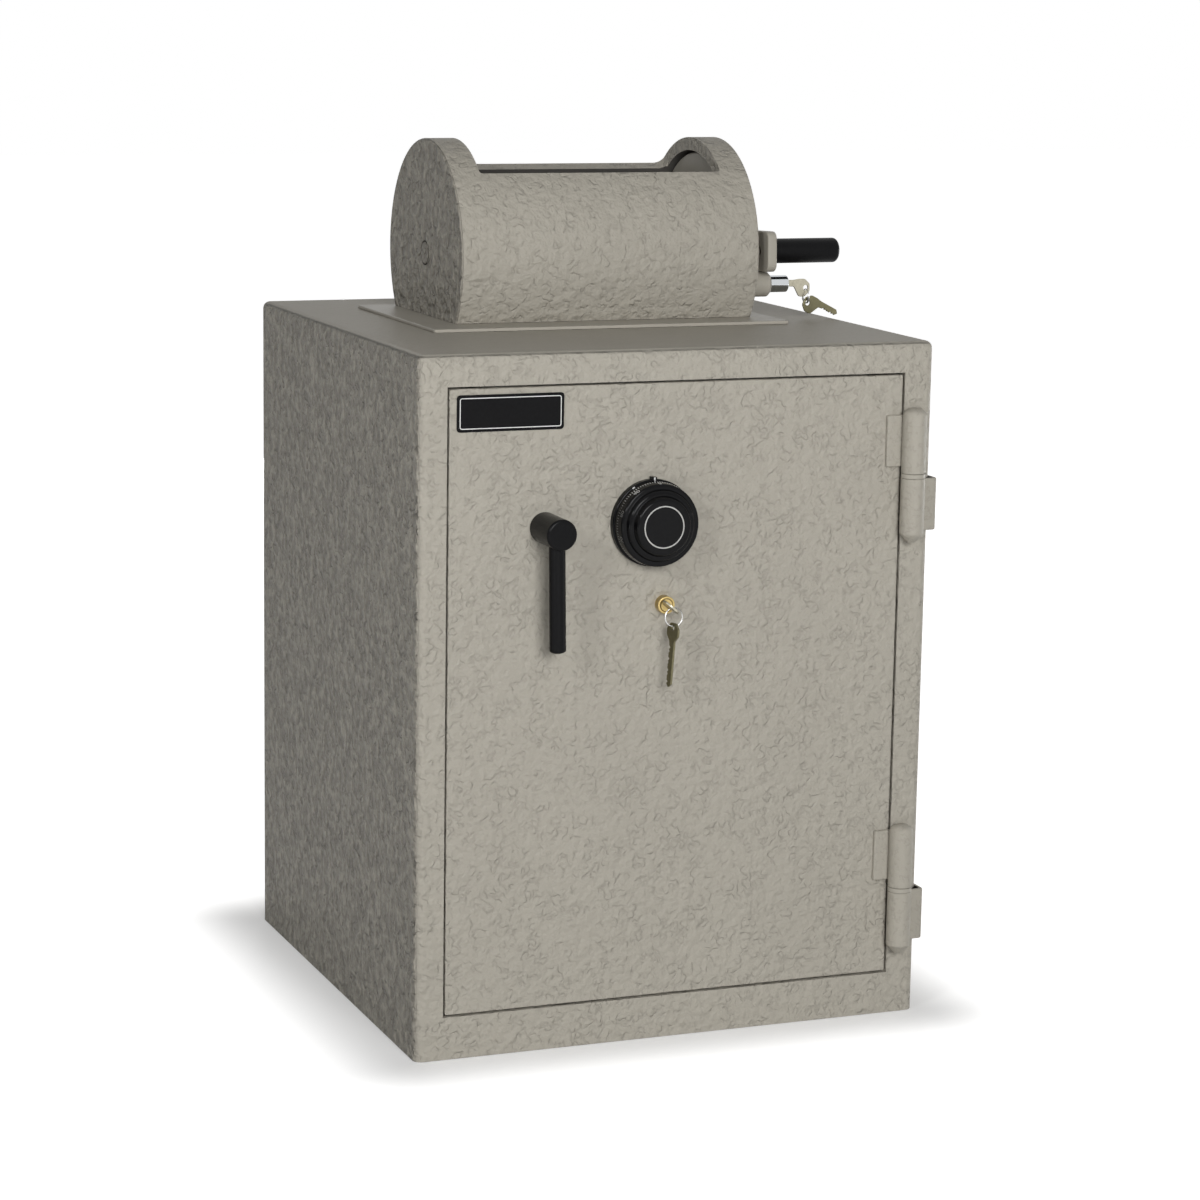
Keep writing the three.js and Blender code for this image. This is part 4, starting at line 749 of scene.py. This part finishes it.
# %% Dial ring
low, high = span("dial_ring")
dial_low, dial_high = span("combination_dial")
dial_axis = axis_of("combination_dial", "y")
ring_front = low[1]
RING = 39.9
section = rounded([[12, high[1]], [RING, high[1]], [RING, ring_front], [12, ring_front]],
                  [0.3, 0.3, 1.3, 0.3], 6, ring=True)
tab_line = oblong(dial_axis[0] - 2.5, dial_axis[0] + 2.5, dial_axis[2] + 38.3, dial_axis[2] + 41.9, 0.5, 3)
tab = plate(tab_line, ring_front + 0.4, high[1], "front", 0.1, low_edge=0.5)
piece("dial_surround", [turned(section, "y", dial_axis, 144, ring=True), tab], dial_black, "door",
      ["dial_ring"])


def dial_mark(angle, inner, outer, width, y0, y1):
    """A stroke on a ring: it points away from the axis at an angle clockwise from the top."""
    a = np.radians(angle)
    out = np.array([np.sin(a), np.cos(a)])
    aside = np.array([np.cos(a), -np.sin(a)])
    corners = np.array([out * inner - aside * width / 2, out * inner + aside * width / 2,
                        out * outer + aside * width / 2, out * outer - aside * width / 2])
    points = corners + np.array([dial_axis[0], dial_axis[2]])
    rows = np.stack([np.column_stack([points[:, 0], np.full(4, y), points[:, 1]]) for y in (y0, y1)])
    return joined(rows)


piece("opening_marks", [dial_mark(0, 38.5, 41.6, 1.5, ring_front + 0.3, ring_front + 1.0),
                        dial_mark(0, 38.4, 38.9, 1.5, ring_front - 0.1, ring_front + 1.0),
                        dial_mark(-32, 38.3, 39.4, 2.4, ring_front - 0.08, ring_front + 0.9)],
      mark_white, "door")

# %% [markdown]
# The knob is a turned piece with a fillet in each step. The graduations are thin strokes laid on its wall
# as one array of boxes, and the numerals are flat letters bent round the same wall.

# %% Dial
back = dial_high[1]
WALL = 38.5
SLOPE_FOOT, SLOPE_TOP = np.array([38.5, back - 5.0]), np.array([37.7, back - 14.2])
dial_profile = rounded(
    [[0, back], [WALL, back], SLOPE_FOOT, [37.6, back - 15], [33.2, back - 15], [31.4, back - 19],
     [27.8, back - 19], [25.6, dial_low[1]], [0, dial_low[1]]],
    [0, 0.3, 0, 2.2, 0.7, 3.2, 0.8, 2.6, 0], 8)
piece("dial", [turned(dial_profile, "y", dial_axis, 240)], dial_black, "dial", ["combination_dial"])


def on_slope(along, angle, lift):
    """A place on the wall of the dial, which narrows a little towards the front. along runs forward from
    the wall's bend in mm, angle is clockwise from the top, and lift is how far it stands off the wall."""
    way = (SLOPE_TOP - SLOPE_FOOT) / np.linalg.norm(SLOPE_TOP - SLOPE_FOOT)
    out = np.array([-way[1], way[0]])
    spot = SLOPE_FOOT + along[..., None] * way + lift[..., None] * out
    radius, y = spot[..., 0], spot[..., 1]
    x, z = dial_axis[0] + radius * np.sin(angle), dial_axis[2] + radius * np.cos(angle)
    return np.stack([x, y, z], axis=-1)


def graduations():
    """A hundred strokes, longer at the fives and longest at the tens, as one array of boxes."""
    count = np.arange(100)
    length = np.where(count % 10 == 0, 3.4, np.where(count % 5 == 0, 2.8, 2.2))
    angle = count / 100 * 2 * np.pi
    half = 0.3 / WALL
    corner_along = np.array([0, 0, 1, 1, 0, 0, 1, 1])
    corner_side = np.array([-1, 1, 1, -1, -1, 1, 1, -1])
    corner_lift = np.array([-0.05, -0.05, -0.05, -0.05, 0.05, 0.05, 0.05, 0.05])
    along = corner_along * length[:, None]
    turn = angle[:, None] + corner_side * half
    lift = np.broadcast_to(corner_lift, along.shape)
    box = np.array([[3, 2, 1, 0], [4, 5, 6, 7], [0, 1, 5, 4], [1, 2, 6, 5], [2, 3, 7, 6], [3, 0, 4, 7]])
    faces = (np.arange(100)[:, None, None] * 8 + box).reshape(-1, 4)
    return on_slope(along, turn, lift).reshape(-1, 3), faces.tolist()


def numeral(text, angle):
    """Plain figures written on the sloped rim: the flat letters are wrapped round the dial's axis."""
    curve = bpy.data.curves.new("numeral", "FONT")
    curve.body = text
    curve.align_x = "CENTER"
    curve.size = 6.4
    curve.extrude = 0.05
    holder = bpy.data.objects.new("numeral", curve)
    bpy.context.scene.collection.objects.link(holder)
    ready = holder.evaluated_get(bpy.context.evaluated_depsgraph_get())
    mesh = bpy.data.meshes.new_from_object(ready)
    points = np.zeros(len(mesh.vertices) * 3)
    mesh.vertices.foreach_get("co", points)
    faces = [list(face.vertices) for face in mesh.polygons]
    bpy.data.objects.remove(holder)
    points = points.reshape(-1, 3)
    along = 8.6 - points[:, 1]
    return on_slope(along, angle + points[:, 0] / WALL, points[:, 2]), faces


numbers = [numeral(str(ten * 10), ten / 10 * 2 * np.pi) for ten in range(10)]
piece("dial_graduations", [graduations()] + numbers, white_print_dark_below, "dial")
face_front = dial_low[1]
line = [[18.3, face_front - 0.06], [19.4, face_front - 0.06],
        [19.4, face_front + 0.1], [18.3, face_front + 0.1]]
piece("dial_face_line", [turned(line, "y", dial_axis, 144, ring=True)], ring_grey, "dial")

# %% [markdown]
# ## Key lock and keys
#
# A brass barrel stands out of the door with a key in it. A wire ring through the bow carries the spare.
# A key is a flat blank: a rounded bow with a hole, and a blade with bitting cut into one edge.

# %% Barrel and plug
low, high = span("key_barrel")
key_axis = axis_of("key_barrel", "y")
section = rounded([[5.9, low[1] + 0.5], [5.9, high[1]], [8.2, high[1]], [8.2, low[1]], [6.5, low[1]]],
                  [0.2, 0.2, 0.3, 0.8, 0.2], 5, ring=True)
piece("lock_barrel", [turned(section, "y", key_axis, 72, ring=True)], worn_brass, "door", ["key_barrel"])
for node, finish in (("key_nut", worn_brass), ("key_plug", worn_brass), ("dial_spindle", bright_steel),
                     ("handle_spindle", sawn_steel), ("hopper_plug", chrome)):
    refinish(node, finish)

# %% [markdown]
# A key blank is stamped from sheet 2 mm thick. Its outline is worked out once for all four keys: the bow by
# rounded corners, the bitting as a sawtooth of uneven depth.

# %% Keys
THICK = 2.0
GROOVE = 0.35
KEY_HOLE = 2.65
HOLE_INSET = 4.4
BOW = 17.4
BOW_LENGTH = 17.0


def key_outline(offset, blade, blade_length, neck=2.0):
    """A key as a line round it, with the hole of its bow at the origin and its blade towards -v. The bow is
    an oval with flattened shoulders, and the bitting is a sawtooth of uneven depth."""
    top = HOLE_INSET
    shoulder = top - BOW_LENGTH
    left = -offset - blade / 2
    right = left + blade
    half = BOW / 2
    bow_line = rounded([[left, shoulder - 0.5], [left - 0.2, shoulder + 0.3], [-half, shoulder + half * 0.62],
                        [-half, top - half * 0.62], [-half * 0.45, top], [half * 0.45, top],
                        [half, top - half * 0.62], [half, shoulder + half * 0.62],
                        [right + 0.4, shoulder + 0.3], [right, shoulder - 1.2]],
                       [0, 1.2, 3.5, 3.5, 3.5, 3.5, 3.5, 3.5, 1.2, 0], 5)
    steps = max(3, int(blade_length / 4))
    start = shoulder - neck - 2.0
    end = shoulder - blade_length + blade * 0.4
    down = np.linspace(start, end, steps * 2 + 1)
    count = np.arange(len(down))
    depth = np.where(count % 2 == 1, 0.22 + 0.14 * np.sin(count * 2.1), 0.06) * blade
    teeth = np.column_stack([right - depth, down])
    tip = np.array([[right - blade * 0.36, end - blade * 0.3], [-offset + 0.3, shoulder - blade_length],
                    [-offset - 0.5, shoulder - blade_length], [left, shoulder - blade_length + blade * 0.38]])
    return np.vstack([bow_line[1:], teeth, tip])[::-1]


def key_solid(outline, turn, at, groove):
    """The blank as a thin plate, and what is cut from it: the hole of the bow and a groove in one face, which
    is given as u0, u1, v0, v1. turn holds the directions of the key's width, length and face."""
    def placed(part):
        return part[0] @ np.array(turn, float) + np.array(at, float), part[1]

    blank = plate(outline, -THICK / 2, THICK / 2, "top", 0.25, steps=2)
    hole = rod("z", KEY_HOLE, -THICK, THICK, [0, 0, 0], 0.0, 32)
    return placed(blank), [[placed(hole)], [placed(brick(*groove, THICK / 2 - GROOVE, THICK))]]


hole_y = low[1] - (1 + BOW_LENGTH - HOLE_INSET)
slot = np.radians(42)
width_way = np.array([-np.cos(slot), 0, np.sin(slot)])
solid_part, holes = key_solid(key_outline(0, 7.5, 19.5),
                              [width_way, [0, -1, 0], np.cross(width_way, [0, -1, 0])],
                              [key_axis[0], hole_y, key_axis[2]], [0.4, 1.6, -34, -17])
piece("key_in_door", [solid_part], worn_nickel, "door_lock", ["door_key"], cuts=holes)

# %% [markdown]
# The spare hangs from the ring by its own bow, a little turned and a little out of plumb.

# %% Spare key
ring_low, ring_high = span("door_key_ring")
lean, turn = np.radians([4, 12])
down_way = np.array([-np.sin(lean), 0, -np.cos(lean)])
across = np.array([-np.sin(turn) * np.cos(lean), np.cos(turn), np.sin(turn) * np.sin(lean)])
RING_DROP = 9.9
spare_hole = (ring_low + ring_high) / 2 - np.array([0, 0, RING_DROP])
solid_part, holes = key_solid(key_outline(0, 7.5, 42), [across, -down_way, np.cross(across, -down_way)],
                              spare_hole, [0.4, 1.6, -55, -17])
piece("spare_key_on_door", [solid_part], dark_nickel, "door_spare", ["door_spare_key"], cuts=holes)

# %% [markdown]
# A split ring is a wire wound twice round, its two turns pressed together, with each end cut off square.

# %% Split rings
def unit(vector):
    return np.array(vector, float) / np.linalg.norm(vector)


def split_ring(centre, radius, normal, wire, turns=1.9, samples=120):
    """A helix of nearly two turns, whose pitch is all in the short stretch where the wire steps over."""
    t = np.linspace(0, turns * 2 * np.pi, samples)
    pitch = np.clip((t - np.pi * 0.9) / (np.pi * 0.3), 0, 1) * 2 - 1
    normal = unit(normal)
    first = unit(np.cross(normal, [0.3, 0.2, 1.0]))
    second = np.cross(normal, first)
    path = (np.array(centre) + radius * (np.cos(t)[:, None] * first + np.sin(t)[:, None] * second)
            + (pitch * wire * 0.52)[:, None] * normal)
    return tube_along(path, wire * 0.5, 10)


ring_centre = (ring_low + ring_high) / 2
piece("door_split_ring", [split_ring(ring_centre, 8.5, [0, 1, 0], 1.1)], bright_steel, "door_ring",
      ["door_key_ring"])

# %% [markdown]
# ## Hopper
#
# The hopper is a length of pipe with a plate welded into each end and the joints ground away, so it
# reads as one form. Its profile is a closed line, turned about the axle: out along the left end, over
# the outside, in along the right end, and back through the bore. Then the foot and the window are cut.

# %% Hopper body
left_low, left_high = span("end_plate_left")
x0, x1 = left_low[0], span("end_plate_right")[1][0]
axle_y = (left_low[1] + left_high[1]) / 2
outer_radius = 109.5
bore_radius = 96.8
axle_z = left_high[2] - outer_radius
section = rounded([[11.9, x0], [outer_radius, x0], [outer_radius, x1], [11.3, x1], [11.3, x1 - 8.3],
                   [bore_radius, x1 - 8.3], [bore_radius, x0 + 8.3], [11.9, x0 + 8.3]],
                  [0.3, 2.2, 2.2, 0.3, 0.3, 1.5, 1.5, 0.3], 6, ring=True)
pipe = turned(section, "x", [0, axle_y, axle_z], 288, ring=True)
foot_z = base_high[2] + 0.3
window_x = (-116.0, 131.0)
slope = np.radians(19)


def window_wall(fillet, side):
    """A channel with round lower corners. It starts at the lip and falls towards the bore by the slope;
    side is -1 for the front lip and 1 for the rear one."""
    outline = oblong(window_x[0], window_x[1], 0, 260, fillet, 10)
    lip = np.array([axle_y + side * 60.7, axle_z + 75.4])
    fall = np.array([-side * np.cos(slope), -np.sin(slope)])
    rise = np.array([-side * np.sin(slope), np.cos(slope)])
    rows = []
    for along in (-60.0, 64.0):
        spot = lip[None] + along * fall[None] + outline[:, 1:] * rise[None]
        rows.append(np.column_stack([outline[:, 0], spot]))
    return joined(np.stack(rows))


upper_block = brick(window_x[0], window_x[1], axle_y - 58, axle_y + 58, axle_z + 75.4, axle_z + 200)
foot_cut = brick(x0 - 20, x1 + 20, axle_y - 200, axle_y + 200, axle_z - 200, foot_z)
hopper = piece("hopper_body", [pipe], hopper_paint, "cabinet",
               ["hopper_housing", "end_plate_left", "end_plate_right"],
               cuts=[[foot_cut], [window_wall(3.0, -1)], [window_wall(9.0, 1)], [upper_block]], edge=0.9)
# The bore's faces get the dark primer: partly their own dark coat, partly painted shade for the shadow inside
# the window.
hopper.data.materials.append(primer)
middles = np.zeros(len(hopper.data.polygons) * 3)
hopper.data.polygons.foreach_get("center", middles)
from_axle = np.linalg.norm(middles.reshape(-1, 3)[:, 1:] / MM - [axle_y, axle_z], axis=1)
inside = (from_axle < bore_radius + 0.2) & (np.abs(middles[::3] / MM - (x0 + x1) / 2) < (x1 - x0) / 2 - 4)
hopper.data.polygons.foreach_set("material_index", inside.astype(np.int32))
print("faces of the unpainted bore:", inside.sum())

# %% [markdown]
# The hopper stands on a flat plate that is welded to the roof, with the throat cut through both.

# %% Base plate
outline = oblong(base_low[0], base_high[0], base_low[1], base_high[1], 2.2, 5)
flange = plate(outline, base_low[2], base_high[2], "top", 0.9, low_edge=0.3)
piece("hopper_flange", [flange], part_paint, "cabinet", ["hopper_base_plate"],
      cuts=[[brick(*throat, 600, 700)]])

# %% [markdown]
# ## Drum
#
# The drum is a thinner pipe with a third of its wall missing, closed by a disc at each end. Mouth up it
# is a trough for a bag; mouth down it is a shield. It turns on two stub axles in brass bushes.

# %% Drum
low, high = span("drum_shell")
drum_axis = [0, axle_y, axle_z]
MOUTH = 48
pin_way = axis_of("lock_boss", "x")[1:] - [axle_y, axle_z]
section = rounded([[89.3, low[0]], [94.3, low[0]], [94.3, high[0]], [89.3, high[0]]], 0.8, 3, ring=True)
# The trough is dark primer: partly its own dark coat, partly painted shade for the shaded inside of the drum.
piece("drum_trough", [turned(section, "x", drum_axis, 200, ring=True, first=90 + MOUTH, last=450 - MOUTH)],
      primer, "drum", ["drum_shell"])
for side in ("left", "right"):
    low, high = span(f"drum_disc_{side}")
    holes = []
    if side == "right":
        for sign in (1, -1):
            spot = [0, axle_y + sign * pin_way[0], axle_z + sign * pin_way[1]]
            holes.append([rod("x", 4.0, low[0] - 2, high[0] + 2, spot, 0.0, 40)])
    piece(f"{side}_drum_disc", [rod("x", 94.3, low[0], high[0], drum_axis, 1.2, 200)], part_paint, "drum",
          [f"drum_disc_{side}"], cuts=holes)
    low, high = span(f"axle_bush_{side}")
    piece(f"{side}_axle_bush", [ring_of("x", 19, 11.3, low[0], high[0], drum_axis)], worn_brass, "cabinet",
          [f"axle_bush_{side}"])
low, high = span("axle_left")
profile = rounded([[0, low[0]], [10.7, low[0]], [10.7, low[0] + 7], [11, low[0] + 7.5],
                   [11, high[0]], [0, high[0]]], [0, 1.0, 0, 0, 0.4, 0], 6)
piece("left_axle", [turned(profile, "x", drum_axis, 72)], hopper_paint, "drum", ["axle_left"])
low, high = span("axle_right")
piece("right_axle", [rod("x", 11, low[0], high[0], drum_axis, 0.8, 72)], bright_steel, "drum", ["axle_right"])

# %% [markdown]
# ## Crank
#
# A flat arm runs forward from the axle and carries a moulded grip. At rest the arm sits just above the
# hopper lock, a few degrees below level.

# %% Crank
TILT = np.radians(-2.6)


def tilted(part):
    """Points turned about the drum's axle by the crank's tilt."""
    points, faces = part
    y, z = points[:, 1] - axle_y, points[:, 2] - axle_z
    turned_y = y * np.cos(TILT) - z * np.sin(TILT)
    turned_z = y * np.sin(TILT) + z * np.cos(TILT)
    return np.column_stack([points[:, 0], axle_y + turned_y, axle_z + turned_z]), faces


arm_low, arm_high = span("crank_arm")
grip_y = axle_y - 91
arm_outline = oblong(grip_y - 22, axle_y + 22, axle_z - 19.5, axle_z + 19.5, 8, 10)
grip_axis = [0, grip_y, axle_z]
bolt_cut = rod("x", 4.6, arm_low[0] - 2, arm_low[0] + 4.2, grip_axis, 0.0, 40)
axle_cut = rod("x", 11.3, arm_low[0] - 2, arm_high[0] + 2, drum_axis, 0.0, 64)
piece("crank_lever", [tilted(plate(arm_outline, arm_low[0], arm_high[0], "side", 1.4))], part_paint, "drum",
      ["crank_arm"], cuts=[[tilted(bolt_cut)], [tilted(axle_cut)]])
low, high = span("crank_grip")
grip_end = np.radians(np.linspace(0, 90, 12))
round_end = np.column_stack([12 - 4.5 * (1 - np.cos(grip_end)), high[0] - 4.5 + 4.5 * np.sin(grip_end)])
grip_profile = np.vstack([rounded([[0, low[0]], [12, low[0]], [12, low[0] + 5]], 0.8, 4), round_end,
                          [[3.5, high[0]], [0, high[0]]]])
piece("crank_handle", [tilted(turned(grip_profile, "x", grip_axis, 96))], grip_black, "drum", ["crank_grip"])
low, high = span("grip_bolt")
piece("grip_screw", [tilted(rod("x", 4, low[0], high[0], grip_axis, 0.5, 40))], primer, "drum",
      ["grip_bolt"])
low, high = span("axle_cap")
hexagon = np.radians(np.arange(6) * 60)
key_y, key_z = axle_y + 4 * np.cos(hexagon), axle_z + 4 * np.sin(hexagon)
cap_cut = np.stack([np.column_stack([np.full(6, x), key_y, key_z]) for x in (high[0] - 2.5, high[0] + 2)])
piece("axle_screw", [tilted(rod("x", 15, low[0], high[0], drum_axis, 0.8, 96))], bright_steel, "drum",
      ["axle_cap"], cuts=[[tilted(joined(cap_cut))]])

# %% [markdown]
# ## Hopper lock
#
# A round boss is welded to the right end plate. In it slides a plated plunger with a key in its end:
# pushed in, its pin holds the drum shut.

# %% Hopper lock
low, high = span("lock_boss")
lock_axis = axis_of("lock_boss", "x")
section = rounded([[8.6, low[0]], [12.4, low[0]], [12.4, high[0] - 2.5], [9.9, high[0]], [8.6, high[0]]],
                  [0.3, 0.3, 1.2, 0.6, 0.3], 5, ring=True)
piece("lock_collar", [turned(section, "x", lock_axis, 96, ring=True)], part_paint, "cabinet", ["lock_boss"])
low, high = span("lock_plunger")
plug_low = span("hopper_plug")[0][0]
profile = rounded([[0, low[0]], [3.5, low[0]], [3.5, 168.5], [8.3, 168.5], [8.3, high[0]], [5.8, high[0]],
                   [5.8, plug_low - 0.3], [0, plug_low - 0.3]], [0, 0.6, 0.2, 0.4, 1.1, 0.3, 0.2, 0], 5)
piece("plunger", [turned(profile, "x", lock_axis, 96)], chrome, "plunger", ["lock_plunger"])

low, high = span("hopper_key")
hopper_hole = np.array([high[0] - HOLE_INSET, lock_axis[1], lock_axis[2] - 4.5])
solid_part, holes = key_solid(key_outline(4.5, 6.4, 21.5, neck=8.5),
                              [[0, 0, -1], [1, 0, 0], np.cross([0, 0, -1], [1, 0, 0])],
                              hopper_hole, [-5, -3.9, -34, -14])
piece("key_in_hopper", [solid_part], worn_nickel, "hopper_lock", ["hopper_key"], cuts=holes)
low, high = span("hopper_key_ring")
ring_centre = (low + high) / 2
ring_lean = np.radians(4)
small_ring = split_ring(ring_centre, 6.9, [np.cos(ring_lean), 0, np.sin(ring_lean)], 1.1)
piece("hopper_split_ring", [small_ring], bright_steel, "hopper_ring", ["hopper_key_ring"])

pitch = np.radians(27)
round_ring = np.radians(30)
HOPPER_RING_DROP = 7.4
hang_way = np.array([np.cos(round_ring) * np.sin(ring_lean), -np.sin(round_ring),
                     -np.cos(round_ring) * np.cos(ring_lean)])
upward = np.array([-np.cos(pitch), 0, np.sin(pitch)])
solid_part, holes = key_solid(key_outline(4.5, 6.4, 21),
                              [[-np.sin(pitch), 0, -np.cos(pitch)], upward, [0, 1, 0]],
                              ring_centre + HOPPER_RING_DROP * hang_way, [-5, -3.9, -33, -14])
piece("spare_key_on_hopper", [solid_part], dark_nickel, "hopper_spare", ["hopper_spare_key"], cuts=holes)

# %% [markdown]
# ## Boltwork
#
# Behind the door three bright bolts slide in a guide, pushed by a bar that the handle's cam moves.

# %% Bolts
for place in ("lower", "middle", "upper"):
    low, high = span(f"bolt_{place}")
    bolt_axis = axis_of(f"bolt_{place}", "x")
    profile = rounded([[0, low[0]], [9, low[0]], [11, low[0] + 2], [11, high[0]], [0, high[0]]],
                      [0, 0.4, 0.8, 0.6, 0], 5)
    piece(f"{place}_bolt", [turned(profile, "x", bolt_axis, 72)], bright_steel, "boltwork", [f"bolt_{place}"])

# %% [markdown]
# ## Floor and light
#
# The photograph is a cut-out on white, with a soft dark shadow close to the foot. The floor is pale and
# lit like the rest. What the camera and the mirrors see of it is lifted to white by a glow, which fades
# out over the last 12 cm before the foot: this fade is a painted shadow, which deepens the real contact
# shadow.

# %% Floor
def white_ground(painted_shadow_reach=0.12):
    """The glow grows with the distance from the foot d = |max(|x| - a, 0), max(|y| - b, 0)|, as a smooth step
    over reach metres. Only camera, glossy and transmission rays see it."""
    make = Recipe("floor white")
    tree = make.tree
    tree.nodes.remove(make.shader)
    rays = tree.nodes.new("ShaderNodeLightPath").outputs
    seen = make.math("MAXIMUM", make.math("MAXIMUM", rays["Is Camera Ray"], rays["Is Glossy Ray"]),
                     rays["Is Transmission Ray"])
    parts = make.add("ShaderNodeSeparateXYZ", Vector=make.place).outputs
    squares = []
    for axis, half in (("X", half_width * MM), ("Y", shell_high[1] * MM)):
        past = make.math("SUBTRACT", make.math("ABSOLUTE", parts[axis]), half)
        squares.append(make.math("POWER", make.math("MAXIMUM", past, 0.0), 2.0))
    away = make.math("SQRT", make.math("ADD", *squares))
    # Painted shadow: near the foot the glow is weaker, so the floor there is darker whatever the lamps do.
    t = make.math("MINIMUM", make.math("DIVIDE", away, painted_shadow_reach), 1.0)
    painted_shadow_fade = make.math("MULTIPLY", make.math("MULTIPLY", t, t), make.math("MULTIPLY_ADD", t, -2.0, 3.0))
    level = make.math("MULTIPLY_ADD", painted_shadow_fade, 0.66, 0.3)
    glow = make.add("ShaderNodeEmission", Strength=make.math("MULTIPLY", seen, level))
    lit = make.add("ShaderNodeBsdfDiffuse", Color=(0.7, 0.7, 0.7, 1.0))
    both = tree.nodes.new("ShaderNodeAddShader")
    make.join(lit.outputs[0], both.inputs[0])
    make.join(glow.outputs[0], both.inputs[1])
    make.join(both.outputs[0], tree.nodes["Material Output"].inputs["Surface"])
    return make.material


floor_mesh = bpy.data.meshes.new("floor")
FLOOR = 14
DOWN = -0.0004
floor_corners = [(-FLOOR, -FLOOR, DOWN), (FLOOR, -FLOOR, DOWN), (FLOOR, FLOOR, DOWN), (-FLOOR, FLOOR, DOWN)]
floor_mesh.from_pydata(floor_corners, [], [(0, 1, 2, 3)])
floor = bpy.data.objects.new("floor", floor_mesh)
floor.data.materials.append(white_ground())
bpy.context.scene.collection.objects.link(floor)
print("floor:", floor.dimensions[:2], "m")

# %% [markdown]
# A large soft lamp near the camera gives the even front light, a smaller one at the upper left rakes along
# the left wall and brings out its relief, and the room adds a weak light from all sides. Two very small
# lamps hardly light the paint: they are there for the black and the plated parts, which would be flat
# without something small and bright to mirror. The two fills stand below the roof's level behind and on
# the right, so that those walls can be seen from their side, and do not reach what the photograph shows.


# %% Lamps and room
def lamp(name, place, aim, size, power):
    """A square lamp that looks from a place to an aim. Its radiance is power / (pi * size * size)."""
    data = bpy.data.lights.new(name, "AREA")
    data.shape = "SQUARE"
    data.size = size
    data.energy = power
    holder = bpy.data.objects.new(name, data)
    holder.visible_camera = False
    away = unit(np.array(place) - np.array(aim))
    side = unit(np.cross([0, 0, 1], away))
    turn = np.column_stack([side, np.cross(away, side), away, place])
    holder.matrix_world = Matrix(np.vstack([turn, [0, 0, 0, 1]]).tolist())
    bpy.context.scene.collection.objects.link(holder)
    print(f"{name}: {power} W, radiance {power / np.pi / size ** 2:.0f}")


CENTRE = (0.0, 0.0, 0.4)
lamp("front lamp", (-0.45, -4.0, 1.55), CENTRE, 1.5, 108)
lamp("window left", (-2.9, -2.3, 2.0), CENTRE, 0.5, 27)
lamp("glint lower left", (-2.6, -1.9, 0.15), CENTRE, 0.12, 3)
lamp("glint right", (3.2, -2.2, 0.5), CENTRE, 0.12, 3)
lamp("back fill", (0.9, 3.4, 0.31), CENTRE, 0.6, 40)
lamp("right fill", (3.4, 0.9, 0.31), CENTRE, 0.6, 30)


def white_room(strength):
    """The room lights the object evenly at a strength, and shows the camera and the mirrors plain white."""
    world = bpy.data.worlds.new("room")
    bpy.context.scene.world = world
    world.use_nodes = True
    tree = world.node_tree
    tree.nodes.clear()
    rays = tree.nodes.new("ShaderNodeLightPath").outputs
    seen = rays["Is Camera Ray"]
    for kind in ("Is Glossy Ray", "Is Transmission Ray"):
        either = tree.nodes.new("ShaderNodeMath")
        either.operation = "MAXIMUM"
        tree.links.new(seen, either.inputs[0])
        tree.links.new(rays[kind], either.inputs[1])
        seen = either.outputs[0]
    mix = tree.nodes.new("ShaderNodeMixShader")
    out = tree.nodes.new("ShaderNodeOutputWorld")
    tree.links.new(seen, mix.inputs["Fac"])
    for socket, colour, level in ((1, (1, 0.98, 0.93, 1), strength), (2, (1, 1, 1, 1), 1.0)):
        light = tree.nodes.new("ShaderNodeBackground")
        light.inputs["Color"].default_value = colour
        light.inputs["Strength"].default_value = level
        tree.links.new(light.outputs[0], mix.inputs[socket])
    tree.links.new(mix.outputs[0], out.inputs["Surface"])


white_room(0.075)
